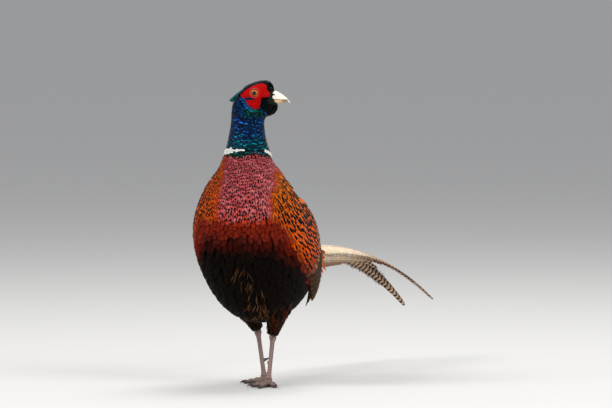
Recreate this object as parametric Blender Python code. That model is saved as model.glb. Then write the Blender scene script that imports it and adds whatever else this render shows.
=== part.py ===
"""A cock ring-necked pheasant, standing alert at life size, with its head turned to its left.

The bird is drawn in its own frame, in metres: +X is its left side, -Y is ahead of it and +Z is up, with
z = 0 on the floor. Points in the tables are (ahead, up), so y = -ahead. The head pieces are drawn the same
way about a point midway between the eyes, and head_place turns them to the bird's left. Last of all the
whole bird is moved so that the origin is the middle of its bounding box, on the floor.
"""

import math

import bmesh
import bpy
import numpy as np
from mathutils import Matrix, Vector
from mathutils.bvhtree import BVHTree

MM = 0.001
GAP = 0.3 * MM
FLAT = 0.0  # height of the floor and of the flats under the toes

# Torso ribs: back (ahead, up), breast or belly (ahead, up), half width, shift of the widest place upward.
TORSO_RIBS = (
    (-147, 193, -141, 167, 17, 0.0),
    (-128, 206, -116, 148, 36, 0.0),
    (-96, 228, -82, 116, 57, 0.0),
    (-62, 252, -44, 95, 69, 0.0),
    (-30, 274, 0, 87, 77, 0.0),
    (-6, 292, 42, 100, 79.5, 0.0),
    (10, 306, 80, 138, 79.5, -0.08),
    (19, 315, 104, 184, 73, -0.2),
    (23, 321, 112, 230, 60, -0.16),
    (24.5, 325, 106, 270, 44, -0.05),
    (25, 328, 96, 298, 36.5, 0.0),
    (25, 331, 86, 318, 33, 0.0),
)
TORSO_SIDES = 24
TORSO_STEPS = 2

# Head ribs, from the top of the neck to the forehead: crown side, throat side, half width, and how far the
# widest place lies towards the crown.
HEAD_RIBS = (
    (-34, -30, 12, -40, 21.5, 0.0),
    (-32.5, -17, 13.5, -35.5, 20, 0.1),
    (-26, -5, 17, -33, 19, 0.22),
    (-15, 6.5, 22, -31.5, 18.5, 0.28),
    (-3, 12.5, 27, -28.5, 16.8, 0.28),
    (8, 15.5, 30.5, -23.5, 11.6, 0.2),
    (17, 15.4, 31.5, -19, 7.6, 0.1),
    (23, 12.2, 31.5, -17, 5.4, 0.0),
    (26.3, 8, 31, -15.5, 3.2, 0.0),
)
HEAD_SIDES = 24
HEAD_STEPS = 2
HEAD_TURN = 101.0  # degrees to the left of straight ahead
HEAD_AT = (11.0, -50.0, 411.0)  # the point midway between the eyes
NECK_RINGS = 7
NECK_ROLL = round(HEAD_TURN / 360 * HEAD_SIDES)

# Bill sections: ahead, top, bottom, half width.
UPPER_BILL = (
    (13.5, 1.5, -9.9, 8.4),
    (18, 3.2, -9.6, 8.2),
    (22, 3.5, -9.4, 7.4),
    (28, 2.5, -9.4, 6.1),
    (34, -0.2, -9.8, 4.9),
    (40, -4.3, -10.7, 3.6),
    (45, -8.8, -12.2, 2.2),
    (48, -13.2, -14.6, 0.8),
)
LOWER_BILL = (
    (14.5, -10.35, -15.0, 7.2),
    (22, -9.85, -15.3, 6.3),
    (28, -9.85, -14.9, 5.3),
    (34, -10.25, -14.2, 4.1),
    (40, -11.15, -13.6, 2.7),
    (43, -12.0, -13.3, 1.1),
)
BILL_SIDES = 12
BILL_FLARE = 0.6  # how far each half of the bill is widest towards the mouth line

EYE_SIDE = 13.7
EYE_RADIUS = 6.4
# Outline of the red face skin: degrees from ahead, going up, and reach from the eye's middle.
WATTLE_OUTLINE = (
    (0, 20.9), (15, 17.9), (36, 19.5), (52, 16.6), (84, 10.9), (112, 9.6), (150, 11.0), (174, 15.0),
    (190, 20.3), (200, 18.4), (216, 15.9), (238, 18.1), (262, 21.0), (275, 22.6), (288, 21.9), (297, 17.6),
    (309, 14.8), (327, 12.0), (345, 20.0), (360, 20.9),
)
WATTLE_SIDES = 26

# The folded wing lies on a shallow dome, measured back from the wrist and up across the wing.
WRIST = (70, 248)
# Droop in degrees, height of the dome out from the middle plane, where along the wing it is highest, and how
# fast it falls away. The left wing lies deeper in the flank.
WINGS = {
    "left": {"droop": 38.0, "height": 83.0, "middle": 104.0, "bend": 0.0027},
    "right": {"droop": 45.0, "height": 83.5, "middle": 80.0, "bend": 0.0020},
}
WING_RISE = -8
WING_CROSS_BEND = 0.0038
WING_TUCK = 0.0125  # the same below WING_RISE, where the lower edge is tucked in
VANE = 0.6  # thickness of a feather's vane
TAIL_LENGTH = 472
TAIL_START = (-142, 184)
TAIL_SWING = 10.0  # degrees to the left of straight back
TAIL_RISE = 3.0
TAIL_FALL = 27.2
TAIL_ROUND = 24.0  # radius of the rounded top of the folded tail
TAIL_STEEP = math.radians(66)
TAIL_LAYER = 0.95  # from one tail feather down to the next
TAIL_LENGTHS = (312, 272, 238, 208, 180, 156, 134)

LEGS = {
    "left": {"thigh": (38, 8, 142), "thigh_end": (20, -1, 74), "hock": (19, -4, 66), "foot": (20, 19, 10.5)},
    "right": {
        "thigh": (-36, -2, 142),
        "thigh_end": (-12.5, -29, 79),
        "hock": (-11.5, -32, 71),
        "foot": (-5.5, -41, 10.5),
    },
}
# Toes: name, turn from straight ahead (outward positive), length, thickness at the root.
TOES = (("inner", -30, 30, 4.0), ("middle", 0, 43, 4.4), ("outer", 32, 34, 4.0), ("hind", 172, 14, 3.4))
CLAW = {"inner": 9.5, "middle": 11, "outer": 9, "hind": 7}

COLOURS = {
    "chestnut": ((0.30, 0.07, 0.02), 0.55),
    "neck_blue": ((0.01, 0.08, 0.16), 0.35),
    "face_red": ((0.62, 0.01, 0.01), 0.6),
    "ivory": ((0.80, 0.72, 0.55), 0.4),
    "eye": ((0.70, 0.30, 0.05), 0.1),
    "wing_brown": ((0.30, 0.17, 0.08), 0.6),
    "tail_buff": ((0.55, 0.42, 0.27), 0.6),
    "thigh_dark": ((0.05, 0.03, 0.02), 0.7),
    "leg_grey": ((0.28, 0.22, 0.20), 0.55),
    "claw": ((0.06, 0.05, 0.04), 0.35),
}


def clear_scene():
    for thing in list(bpy.data.objects):
        bpy.data.objects.remove(thing)


def named_collection(name):
    collection = bpy.data.collections.new(name)
    bpy.context.scene.collection.children.link(collection)
    return collection


def material(name):
    made = bpy.data.materials.get(name)
    if made:
        return made
    colour, roughness = COLOURS[name]
    made = bpy.data.materials.new(name)
    made.use_nodes = True
    shader = made.node_tree.nodes["Principled BSDF"]
    shader.inputs["Base Color"].default_value = (*colour, 1)
    shader.inputs["Roughness"].default_value = roughness
    return made


def point(side, ahead, up):
    """A point of the bird's frame in metres, from millimetres."""
    return np.array((side, -ahead, up), float) * MM


def spline(rows, steps):
    """Catmull-Rom rows through the given ones, with this many steps from each to the next."""
    rows = np.asarray(rows, float)
    padded = np.vstack((2 * rows[0] - rows[1], rows, 2 * rows[-1] - rows[-2]))
    found = []
    for i in range(len(rows) - 1):
        a, b, c, d = padded[i : i + 4]
        for t in np.arange(steps) / steps:
            bend, twist = 2 * a - 5 * b + 4 * c - d, 3 * b - a - 3 * c + d
            found.append(0.5 * (2 * b + (c - a) * t + bend * t**2 + twist * t**3))
    return np.array(found + [rows[-1]])


def rib_ring(rib, sides, grow=0.0):
    """An oval ring in the plane that holds the rib's two points and the side axis. It starts at the back or
    crown and goes round by the left. A sixth number moves its widest place towards the first point."""
    widest = rib[5] if len(rib) > 5 else 0.0
    back, front = point(0, rib[0], rib[1]), point(0, rib[2], rib[3])
    middle, half = (back + front) / 2, (back - front) / 2
    size = np.linalg.norm(half)
    turn = np.arange(sides) * 2 * math.pi / sides
    along = np.cos(turn) + widest * np.sin(turn) ** 2
    ring = middle + np.outer(along, half * (1 + grow / size))
    ring[:, 0] += np.sin(turn) * (rib[4] * MM + grow)
    return ring


def push_ends(rings, grow):
    """Moves the first and last ring outward along the loft by grow."""
    for end, inner in ((0, 1), (-1, -2)):
        out = rings[end].mean(0) - rings[inner].mean(0)
        rings[end] = rings[end] + out / np.linalg.norm(out) * grow
    return rings


def mesh_object(name, points, faces, colour, home):
    mesh = bpy.data.meshes.new(name)
    mesh.from_pydata([tuple(p) for p in points], [], faces)
    mesh.update()
    made = bpy.data.objects.new(name, mesh)
    home.objects.link(made)
    made.data.materials.append(material(colour))
    return made


def loft(name, rings, colour, home):
    """A closed skin over rings of equal count, with flat ends and its faces turned outward."""
    count = len(rings[0])
    points = np.vstack(rings)
    faces = []
    for i in range(len(rings) - 1):
        for k in range(count):
            a, b = i * count + k, i * count + (k + 1) % count
            faces.append((a, b, b + count, a + count))
    faces.append(tuple(reversed(range(count))))
    faces.append(tuple(range((len(rings) - 1) * count, len(rings) * count)))
    made = mesh_object(name, points, faces, colour, home)
    face_outward(made.data)
    return made


def face_outward(mesh):
    """Turns a closed mesh the right way out by the sign of its volume."""
    work = bmesh.new()
    work.from_mesh(mesh)
    bmesh.ops.recalc_face_normals(work, faces=work.faces)
    if work.calc_volume(signed=True) < 0:
        bmesh.ops.reverse_faces(work, faces=work.faces)
    work.to_mesh(mesh)
    work.free()


def sheet(name, points, normals, thickness, colour, home, closed=False):
    """A thin solid on a grid of points, with its two faces split into the same triangles. thickness may be a
    number or a grid. closed joins the grid's last column to its first, so that the sheet is a ring."""
    points, normals = np.asarray(points), np.asarray(normals)
    thickness = np.broadcast_to(np.asarray(thickness, float), points.shape[:2])[..., None]
    top, bottom = points + normals * thickness / 2, points - normals * thickness / 2
    rows, columns = points.shape[:2]
    under = rows * columns

    def at(i, j):
        return i * columns + j % columns

    faces = []
    for i in range(rows - 1):
        for j in range(columns if closed else columns - 1):
            a, b, c, d = at(i, j), at(i, j + 1), at(i + 1, j + 1), at(i + 1, j)
            faces += [(a, b, c), (a, c, d)]
            faces += [(under + c, under + b, under + a), (under + d, under + c, under + a)]
    rim = [[at(i, j) for j in range(columns)] for i in (0, rows - 1)]
    if closed:
        rims = [loop + loop[:1] for loop in rim]
    else:
        sides = [[at(i, j) for i in range(rows)] for j in (0, columns - 1)]
        rims = rim + sides
    for line in rims:
        for a, b in zip(line[:-1], line[1:]):
            faces += [(a, b, under + b), (a, under + b, under + a)]
    made = mesh_object(name, np.vstack((top.reshape(-1, 3), bottom.reshape(-1, 3))), faces, colour, home)
    face_outward(made.data)
    return made


def apply_boolean(body, operation, tools, solver="EXACT", merge=1e-6):
    """Joins or cuts body with a collection of closed meshes, applies it and removes them."""
    modifier = body.modifiers.new("join", "BOOLEAN")
    modifier.operation = operation
    modifier.operand_type = "COLLECTION"
    modifier.collection = tools
    modifier.solver = solver
    graph = bpy.context.evaluated_depsgraph_get()
    graph.update()
    result = bpy.data.meshes.new_from_object(body.evaluated_get(graph))
    body.modifiers.clear()
    body.data = result
    for tool in list(tools.objects):
        bpy.data.objects.remove(tool)
    bpy.data.collections.remove(tools)
    keep_largest(body, merge)


def keep_largest(body, merge):
    """Merges points closer than merge and leaves only the largest closed surface of the mesh."""
    work = bmesh.new()
    work.from_mesh(body.data)
    bmesh.ops.remove_doubles(work, verts=work.verts, dist=merge)
    left, groups = set(work.verts), []
    while left:
        group, edge = set(), [left.pop()]
        while edge:
            vertex = edge.pop()
            group.add(vertex)
            for link in vertex.link_edges:
                other = link.other_vert(vertex)
                if other in left:
                    left.remove(other)
                    edge.append(other)
        groups.append(group)
    groups.sort(key=len)
    for group in groups[:-1]:
        bmesh.ops.delete(work, geom=list(group), context="VERTS")
    work.to_mesh(body.data)
    work.free()


def ellipsoid(name, centre, radii, colour, home, segments=12, rings=8):
    work = bmesh.new()
    bmesh.ops.create_uvsphere(work, u_segments=segments, v_segments=rings, radius=1)
    bmesh.ops.transform(
        work, matrix=Matrix.Translation(Vector(centre)) @ Matrix.Diagonal((*radii, 1)), verts=work.verts
    )
    mesh = bpy.data.meshes.new(name)
    work.to_mesh(mesh)
    work.free()
    made = bpy.data.objects.new(name, mesh)
    home.objects.link(made)
    made.data.materials.append(material(colour))
    return made


def torso_rings(grow=0.0):
    rings = [rib_ring(rib, TORSO_SIDES, grow) for rib in spline(TORSO_RIBS, TORSO_STEPS)]
    return push_ends(rings, grow) if grow else rings


def torso(home):
    return loft("torso", torso_rings(), "chestnut", home)


def torso_cutter():
    """A collection with one torso, swollen by the gap that touching pieces keep."""
    cutters = named_collection("cutters")
    loft("torso_cutter", torso_rings(GAP), "chestnut", cutters)
    return cutters


def head_place():
    return Matrix.Translation(Vector(HEAD_AT) * MM) @ Matrix.Rotation(math.radians(HEAD_TURN), 4, "Z")


def place_head_piece(piece):
    piece.data.transform(head_place())
    piece.data.update()


def bill_rings(table, widest, grow=0.0):
    rings = [rib_ring((a, top, a, bottom, half, widest), BILL_SIDES, grow) for a, top, bottom, half in table]
    return push_ends(rings, grow) if grow else rings


def nostril_flap(name, side, home, grow=0.0):
    """The bulging flap over a nostril, at the root of the upper bill."""
    radii = np.array((2.3, 4.4, 2.1)) * MM + grow
    return ellipsoid(name, point(side * 4.2, 24.5, -0.1), radii, "ivory", home, 10, 6)


def bill(home):
    upper = loft("bill_upper", bill_rings(UPPER_BILL, -BILL_FLARE), "ivory", home)
    flaps = named_collection("flaps")
    for side in (-1, 1):
        nostril_flap(f"flap{side}", side, flaps)
    apply_boolean(upper, "UNION", flaps)
    slits = named_collection("slits")
    slit_radii = np.array((2.2, 2.6, 0.7)) * MM
    for side in (-1, 1):
        ellipsoid(f"slit{side}", point(side * 7.0, 26.0, -2.9), slit_radii, "ivory", slits, 8, 6)
    apply_boolean(upper, "DIFFERENCE", slits, merge=9e-5)
    lower = loft("bill_lower", bill_rings(LOWER_BILL, BILL_FLARE), "ivory", home)
    return upper, lower


def head(home):
    """The feathered head, hollowed for the bill and the eyes."""
    rings = [rib_ring(rib, HEAD_SIDES) for rib in spline(HEAD_RIBS, HEAD_STEPS)]
    made = loft("head", rings, "neck_blue", home)
    corners = [v.co.copy() for v in made.data.vertices]
    surface = BVHTree.FromPolygons(corners, [p.vertices[:] for p in made.data.polygons])
    cutters = named_collection("cutters")
    loft("upper_cutter", bill_rings(UPPER_BILL, -BILL_FLARE, GAP), "ivory", cutters)
    loft("lower_cutter", bill_rings(LOWER_BILL, BILL_FLARE, GAP), "ivory", cutters)
    for side in (-1, 1):
        nostril_flap(f"flap_cutter{side}", side, cutters, 1.3 * GAP)
        eye_ball(f"eye_cutter{side}", side, EYE_RADIUS * MM + GAP, cutters)
    apply_boolean(made, "DIFFERENCE", cutters, merge=9e-5)
    return made, surface


def eye_ball(name, side, radius, home):
    return ellipsoid(name, point(side * EYE_SIDE, 0, 0), (radius,) * 3, "eye", home, 14, 8)


def wattle(name, side, surface, home):
    """The bare red skin round an eye: a ring-shaped sheet on the side of the head, out to its named reach, with
    a raised lid round the eye and small bulbs."""
    angle = np.arange(WATTLE_SIDES) * 2 * math.pi / WATTLE_SIDES
    reach = np.interp(np.degrees(angle), *np.transpose(WATTLE_OUTLINE))
    share = np.array((0.0, 0.0, 0.5, 1.0))
    lid = np.array((4.7, 6.7, 6.7, 6.7))
    raised = np.array((1.1, 2.1, 1.6, 0.9)) * MM
    rows, normals, thick = [], [], []
    for i, out in enumerate(share):
        row, row_normals = [], []
        for a, r in zip(angle, reach):
            distance = lid[i] + (max(r, 8.6) - lid[i]) * out
            start = point(side * 40, distance * math.cos(a), distance * math.sin(a))
            hit, normal, _, _ = surface.ray_cast(Vector(start), Vector((-side, 0, 0)))
            if hit is None:
                hit, normal, _, _ = surface.find_nearest(Vector(start) - Vector((side * 30 * MM, 0, 0)))
            normal = (Vector(normal) + Vector((side * 0.6, 0, 0))).normalized()
            row.append(np.array(hit))
            row_normals.append(np.array(normal))
        rows.append(row)
        normals.append(row_normals)
        bulbs = 0.35 * MM * np.cos(angle * WATTLE_SIDES / 2 + i * math.pi) * (0 < out < 1)
        thick.append(raised[i] + bulbs)
    rows, normals, thick = np.array(rows), np.array(normals), np.array(thick)
    inner_gap = GAP + 0.2 * MM
    middle = rows + normals * (inner_gap + thick / 2)[..., None]
    made = sheet(name, middle, normals, thick, "face_red", home, closed=True)
    cutters = named_collection("cutters")
    eye_ball("eye_cutter", side, EYE_RADIUS * MM + GAP, cutters)
    apply_boolean(made, "DIFFERENCE", cutters)
    return made


def tuft_lock(name, side, surface, root, tip, width, home):
    """A flat tapered lock of the ear tuft. root is (ahead, up) on the side of the head, and tip is (side,
    ahead, up). It lies on the head at its root and turns to face sideways at its tip."""
    start = Vector(point(side * 40, *root))
    hit, normal, _, _ = surface.ray_cast(start, Vector((-side, 0, 0)))
    begin, end = np.array(hit) + np.array(normal) * 0.3 * MM, point(*tip)
    along = (end - begin) / np.linalg.norm(end - begin)
    rows, normals = [], []
    for t, share in ((0, 0.85), (0.35, 1.0), (0.72, 0.72), (1.0, 0.14)):
        face = np.array(normal) * (1 - t) + np.array((side * 0.9, 0, 0.35)) * t
        face -= along * face.dot(along)
        face /= np.linalg.norm(face)
        across = np.cross(face, along)
        centre = begin + (end - begin) * t + face * 1.6 * MM * math.sin(math.pi * t)
        rows.append([centre + across * width * MM * share * c for c in (-1, 0, 1)])
        normals.append([face] * 3)
    thick = np.broadcast_to(np.array((2.6, 2.2, 1.4, 0.6))[:, None] * MM, (4, 3))
    return sheet(name, rows, normals, thick, "neck_blue", home)


def ear_tuft(name, side, surface, home):
    """The pointed tuft at the back corner of the crown: three overlapping locks that lie along the head."""
    base = tuft_lock(name, side, surface, (-13.5, 6.8), (side * 12.0, -36.5, -10.8), 2.6, home)
    locks = named_collection("locks")
    tuft_lock("lock1", side, surface, (-17.5, 3.0), (side * 13.4, -34.6, -11.8), 2.5, locks)
    tuft_lock("lock2", side, surface, (-22.0, -1.4), (side * 14.6, -32.2, -12.8), 2.3, locks)
    apply_boolean(base, "UNION", locks)
    return base


def cut_by_head(piece, ribs):
    """Trims a head piece to the head's surface, with the usual gap."""
    cutters = named_collection("cutters")
    rings = push_ends([rib_ring(rib, HEAD_SIDES, GAP) for rib in ribs], GAP)
    loft("head_cutter", rings, "neck_blue", cutters)
    apply_boolean(piece, "DIFFERENCE", cutters)


def neck(home):
    """The neck, from the torso's top ring to the head's first ring, which is turned with the head."""
    low = torso_rings()[-1]
    turn = np.array(head_place())
    high = rib_ring(HEAD_RIBS[0], HEAD_SIDES) @ turn[:3, :3].T + turn[:3, 3]
    high = np.roll(high, -NECK_ROLL, axis=0)
    axis = high.mean(0) - low.mean(0)
    length = np.linalg.norm(axis)
    axis /= length
    inward = low.mean(0) - low
    inward /= np.linalg.norm(inward, axis=1)[:, None]
    lean = axis * length + inward * 16 * MM
    rings = []
    for t in np.linspace(0, 1, NECK_RINGS):
        start, start_way = 2 * t**3 - 3 * t**2 + 1, t**3 - 2 * t**2 + t
        end, end_way = 3 * t**2 - 2 * t**3, t**3 - t**2
        rings.append(low * start + high * end + lean * start_way + axis * length * end_way)
    rings[0] = rings[0] + axis * GAP
    rings[-1] = rings[-1] - axis * GAP
    return loft("neck", rings, "neck_blue", home)


class WingDome:
    """The shallow dome that a folded wing's feathers lie on. Places on it are (back from the wrist along the
    wing, up across the wing), in millimetres. Its distance out from the bird's middle plane falls away as the
    square of the distance from its middle."""

    def __init__(self, side):
        self.side = 1 if side == "left" else -1
        self.shape = WINGS[side]
        droop = math.radians(self.shape["droop"])
        self.along = np.array((-math.cos(droop), -math.sin(droop)))
        self.across = np.array((-math.sin(droop), math.cos(droop)))

    def at(self, back, rise):
        out = self.shape["height"] - self.shape["bend"] * (back - self.shape["middle"]) ** 2
        out -= (WING_CROSS_BEND if rise > WING_RISE else WING_TUCK) * (rise - WING_RISE) ** 2
        ahead, up = np.array(WRIST) + self.along * back + self.across * rise
        return point(self.side * out, ahead, up)

    def normal(self, back, rise):
        step = 0.5
        a = self.at(back + step, rise) - self.at(back - step, rise)
        b = self.at(back, rise + step) - self.at(back, rise - step)
        n = np.cross(a, b)
        n /= np.linalg.norm(n)
        return n if n[0] * self.side > 0 else -n


# Share of the way along a vane, and share of its half width there.
FLIGHT_SHAPE = ((0.0, 0.5), (0.3, 0.95), (0.65, 1.0), (0.9, 0.68), (1.0, 0.15))
COVERT_SHAPE = ((0.0, 0.5), (0.5, 1.0), (0.84, 0.82), (1.0, 0.2))

# The pad under the vanes: back along the wing, its lowest and highest place across the wing there.
WING_PAD = ((6, -16, 24), (18, -27, 42), (45, -33, 56), (85, -34, 60), (125, -27, 58), (150, -16, 44))


def wing_vane(name, dome, root, tip, half_width, lifts, shape, tilt, colour, home, bow=0.0):
    """A wing feather from root to tip on the dome. lifts are its heights over the dome at the root, where the
    rise ends, and at the tip. tilt raises its lower edge, so that neighbours overlap like tiles."""
    root, tip = np.array(root, float), np.array(tip, float)
    way = (tip - root) / np.linalg.norm(tip - root)
    side_way = np.array((-way[1], way[0]))
    columns = (-1, 0, 1) if len(shape) > 4 else (-1, 1)
    points, normals = [], []
    for t, share in shape:
        row, row_normals = [], []
        for c in columns:
            wide = c * half_width * share
            place = root + (tip - root) * t + side_way * (wide + bow * 4 * t * (1 - t))
            lift = np.interp(t, (0, 0.5, 1), lifts) - tilt * wide
            normal = dome.normal(*place)
            row.append(dome.at(*place) + normal * lift * MM)
            row_normals.append(normal)
        points.append(row)
        normals.append(row_normals)
    return sheet(name, points, normals, VANE * MM, colour, home)


def wing_core(name, dome, home):
    """The muscle and small coverts of the folded wing, as a pad under its long feathers."""
    rows, normals = [], []
    for back, low, high in WING_PAD:
        rises = np.linspace(low, high, 6)
        rows.append([dome.at(back, rise) - dome.normal(back, rise) * 7.5 * MM for rise in rises])
        normals.append([dome.normal(back, rise) for rise in rises])
    return sheet(name, rows, normals, 12 * MM, "wing_brown", home)


def wing(side, home):
    """A folded wing: a pad with tiers of vanes, trimmed to the torso."""
    dome = WingDome(side)
    body = wing_core(f"wing_{side}", dome, home)
    vanes = named_collection("vanes")

    def tier(label, count, roots, tips, half_width, lifts, shape, tilt, layer=0.0, bow=0.0):
        for i in range(count):
            s = i / (count - 1)
            root = np.array(roots[0]) * (1 - s) + np.array(roots[1]) * s
            tip = np.array(tips[0]) * (1 - s) + np.array(tips[1]) * s
            height = [lift - layer * (count - 1 - i) for lift in lifts]
            wing_vane(
                f"{label}{i}", dome, root, tip, half_width, height, shape, tilt, "wing_brown", vanes, bow
            )

    primary_ends = ((98, -20), (84, -8)), ((212, -17), (172, 2))
    secondary_ends = ((62, -24), (58, 48)), ((184, -22), (150, 50))
    greater_ends = ((32, -25), (30, 48)), ((104, -27), (96, 52))
    median_ends = ((8, -20), (10, 38)), ((66, -27), (62, 48))
    tier("primary", 5, *primary_ends, 8.8, (-3.6, -2.6, -2.4), FLIGHT_SHAPE, 0.0, layer=0.95, bow=-4)
    tier("secondary", 8, *secondary_ends, 10.2, (-3.4, 0.3, 0.6), FLIGHT_SHAPE, 0.13, bow=-3)
    tier("greater_covert", 7, *greater_ends, 10.2, (-3.4, 0.4, 3.2), COVERT_SHAPE, 0.12)
    tier("median_covert", 6, *median_ends, 9.6, (-3.4, 0.6, 3.4), COVERT_SHAPE, 0.12)
    apply_boolean(body, "UNION", vanes)
    apply_boolean(body, "DIFFERENCE", torso_cutter())
    return body


class TailRoof:
    """The folded tail's shape: a line that swings to the left, starts out a little upward and bends down
    along an arc, with a rounded roof across it. Places are (distance along, distance down the roof, left
    positive)."""

    def __init__(self):
        swing = math.radians(TAIL_SWING)
        self.back = np.array((math.sin(swing), math.cos(swing), 0))
        self.left = np.array((math.cos(swing), -math.sin(swing), 0))
        self.rise = math.radians(TAIL_RISE)
        self.bend = math.radians(TAIL_RISE + TAIL_FALL) / TAIL_LENGTH
        self.start = point(0, *TAIL_START)

    def frame(self, along):
        """The middle line's point, its way along, and up across it."""
        heading = self.rise - self.bend * along
        flat = (math.sin(self.rise) - math.sin(heading)) / self.bend
        climb = (math.cos(heading) - math.cos(self.rise)) / self.bend
        spot = self.start + (self.back * flat + np.array((0, 0, climb))) * MM
        way = self.back * math.cos(heading) + np.array((0, 0, math.sin(heading)))
        up = np.cross(self.left, way)
        return spot, way, up if up[2] > 0 else -up

    def at(self, along, down, layer=0.0):
        """A point on the roof, and the roof's outward normal there. layer moves it inward."""
        spot, way, up = self.frame(along)
        side = 1 if down >= 0 else -1
        arc = abs(down)
        turned = min(arc / TAIL_ROUND, TAIL_STEEP)
        straight = arc - turned * TAIL_ROUND
        out = math.sin(turned) * TAIL_ROUND + straight * math.cos(TAIL_STEEP)
        drop = (1 - math.cos(turned)) * TAIL_ROUND + straight * math.sin(TAIL_STEEP)
        normal = self.left * side * math.sin(turned) + up * math.cos(turned)
        return spot + (self.left * side * out - up * drop) * MM - normal * layer * MM, normal


def tail_vane(name, roof, length, axis, spread, widths, layer, root, home, segments=9, inner=None):
    """A tail feather under the roof: its axis lies axis millimetres down the roof and moves by spread out to
    the tip. widths are half widths near the root and the width kept at the tip. inner is the least place down
    the roof that its inner edge may take, which keeps left and right feathers clear of each other."""
    side = 1 if axis + spread >= 0 else -1
    points, normals = [], []
    for i in range(segments + 1):
        t = i / segments
        along = root + (length - root) * t
        gathered = 0.45 + 0.55 * min(1.0, along / 75)
        centre = axis * gathered + spread * t**1.5
        full = widths[0] * (1 - 0.9 * t**1.5) * (0.42 + 0.58 * min(1.0, t / 0.14)) + widths[1]
        if i == segments:
            full = widths[1] * 0.5
        row, row_normals = [], []
        for c in (-1, 0, 1):
            down = centre + c * full
            if inner is not None:
                down = side * max(side * down, inner * (0.6 if c * side < 0 else 1.2) * gathered)
            spot, normal = roof.at(along, down, layer)
            row.append(spot)
            row_normals.append(normal)
        points.append(row)
        normals.append(row_normals)
    return sheet(name, points, normals, 0.62 * MM, "tail_buff", home)


def tail_core(roof, home):
    """The root of the tail, just behind the torso, that the tail feathers grow from: rings at a distance
    along the tail, with a half width and a half height."""
    rings = []
    sizes = ((-4, 17, 12.5), (6, 20, 14), (20, 20.5, 14), (36, 18.5, 12.5), (50, 14, 9.5), (60, 7, 5))
    for along, wide, tall in sizes:
        spot, way, up = roof.frame(along)
        middle = spot + up * (1.8 - 14) * MM
        turn = np.arange(16) * 2 * math.pi / 16
        rings.append(
            middle + np.outer(np.cos(turn) * tall * MM, up) + np.outer(np.sin(turn) * wide * MM, roof.left)
        )
    return loft("tail", rings, "tail_buff", home)


def plume(name, roof, side, start, reach, fall, width, home):
    """A loose rump feather at the side of the tail's root, which droops back and down."""
    spot, way, up = roof.frame(start)
    out = roof.left * side
    points, normals = [], []
    for t, share in ((0.0, 0.6), (0.35, 1.0), (0.75, 0.8), (1.0, 0.2)):
        sideways, drop = 12 + 9 * min(1, t * 2.2), 5 + fall * t**1.6
        centre = spot + out * sideways * MM - up * drop * MM + way * reach * t * MM
        across = up * 0.55 + way * 0.5
        across = across - out * across.dot(out)
        across /= np.linalg.norm(across)
        points.append([centre + across * width * share * c * MM for c in (-1, 1)])
        normals.append([out, out])
    return sheet(name, points, normals, 0.7 * MM, "tail_buff", home)


def tail(home):
    """Eighteen tail feathers in nested layers, the long middle pair on top, with the upper coverts and the
    loose rump feathers at the root."""
    roof = TailRoof()
    body = tail_core(roof, home)
    vanes = named_collection("vanes")
    # The left middle feather stays on top; the right one has slipped down its side of the roof. Each of the
    # next pair lies under one of them.
    tail_vane("middle_left", roof, TAIL_LENGTH, 9, -3, (17.5, 1.6), 0.0, 16, vanes, 9)
    tail_vane("middle_right", roof, 446, -11, -25, (13, 1.3), TAIL_LAYER, 16, vanes, 9)
    tail_vane("second_left", roof, 400, 8, -2, (13, 1.5), 2 * TAIL_LAYER, 15, vanes, 6, inner=1.2)
    tail_vane("second_right", roof, 380, -11, -20, (12.5, 1.5), 2 * TAIL_LAYER, 15, vanes, 6, inner=1.2)
    for j, length in enumerate(TAIL_LENGTHS):
        for side in (-1, 1):
            tail_vane(
                f"rectrix{j}_{side}",
                roof,
                length,
                side * (14 + 3.3 * j),
                side * 1.5,
                (11.6 - 0.35 * j, 1.5),
                TAIL_LAYER * (j + 3),
                14 + 1.5 * j,
                vanes,
                5 if j < 4 else 4,
                inner=2.0 + 0.25 * j,
            )
    for k in range(3):
        for side in (-1, 1):
            tail_vane(
                f"covert{k}_{side}",
                roof,
                112 - 17 * k,
                side * (9 + 10 * k),
                side * 2,
                (8.0, 1.2),
                -1.0 - 0.15 * k,
                24 - 2 * k,
                vanes,
                4,
                inner=0.8 + 7.5 * k,
            )
    for k in range(4):
        for side in (-1, 1):
            plume(f"plume{k}_{side}", roof, side, 3 + 11 * k, 36 + 5 * k, 36 - 6 * k, 8.0, vanes)
    apply_boolean(body, "UNION", vanes)
    apply_boolean(body, "DIFFERENCE", torso_cutter())
    return body


def tube_rings(centres, radii, sides, flat_bottom=False, upright=None, square_to=None):
    """Round rings square to a path, or to one given way. flat_bottom holds every point at or above the
    floor."""
    centres = np.asarray(centres, float)
    ways = np.gradient(centres, axis=0) if square_to is None else [square_to] * len(centres)
    rings = []
    for centre, way, radius in zip(centres, ways, radii):
        way = way / np.linalg.norm(way)
        guide = np.array(upright if upright is not None else (0, 0, 1.0))
        side = np.cross(way, guide)
        side /= np.linalg.norm(side)
        up = np.cross(side, way)
        wide, tall = radius if np.ndim(radius) else (radius, radius)
        turn = np.arange(sides) * 2 * math.pi / sides
        ring = centre + np.outer(np.cos(turn) * tall, up) + np.outer(np.sin(turn) * wide, side)
        if flat_bottom:
            ring[:, 2] = np.maximum(ring[:, 2], FLAT)
        rings.append(ring)
    return rings


def thigh(side, home):
    """The feathered drumstick, from inside the torso down to just above the hock, trimmed to the torso."""
    leg = LEGS[side]
    top, end = point(*leg["thigh"]), point(*leg["thigh_end"])
    shares = np.array((0, 0.25, 0.5, 0.72, 0.88, 1.0))
    sizes = ((25, 34), (24, 33), (19, 26), (14, 18), (10.5, 12.5), (8.3, 9.2))
    rings = tube_rings(
        [top + (end - top) * s for s in shares], [(w * MM, t * MM) for w, t in sizes], 16, upright=(0, 1, 0)
    )
    made = loft(f"thigh_{side}", rings, "thigh_dark", home)
    apply_boolean(made, "DIFFERENCE", torso_cutter())
    return made


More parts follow.
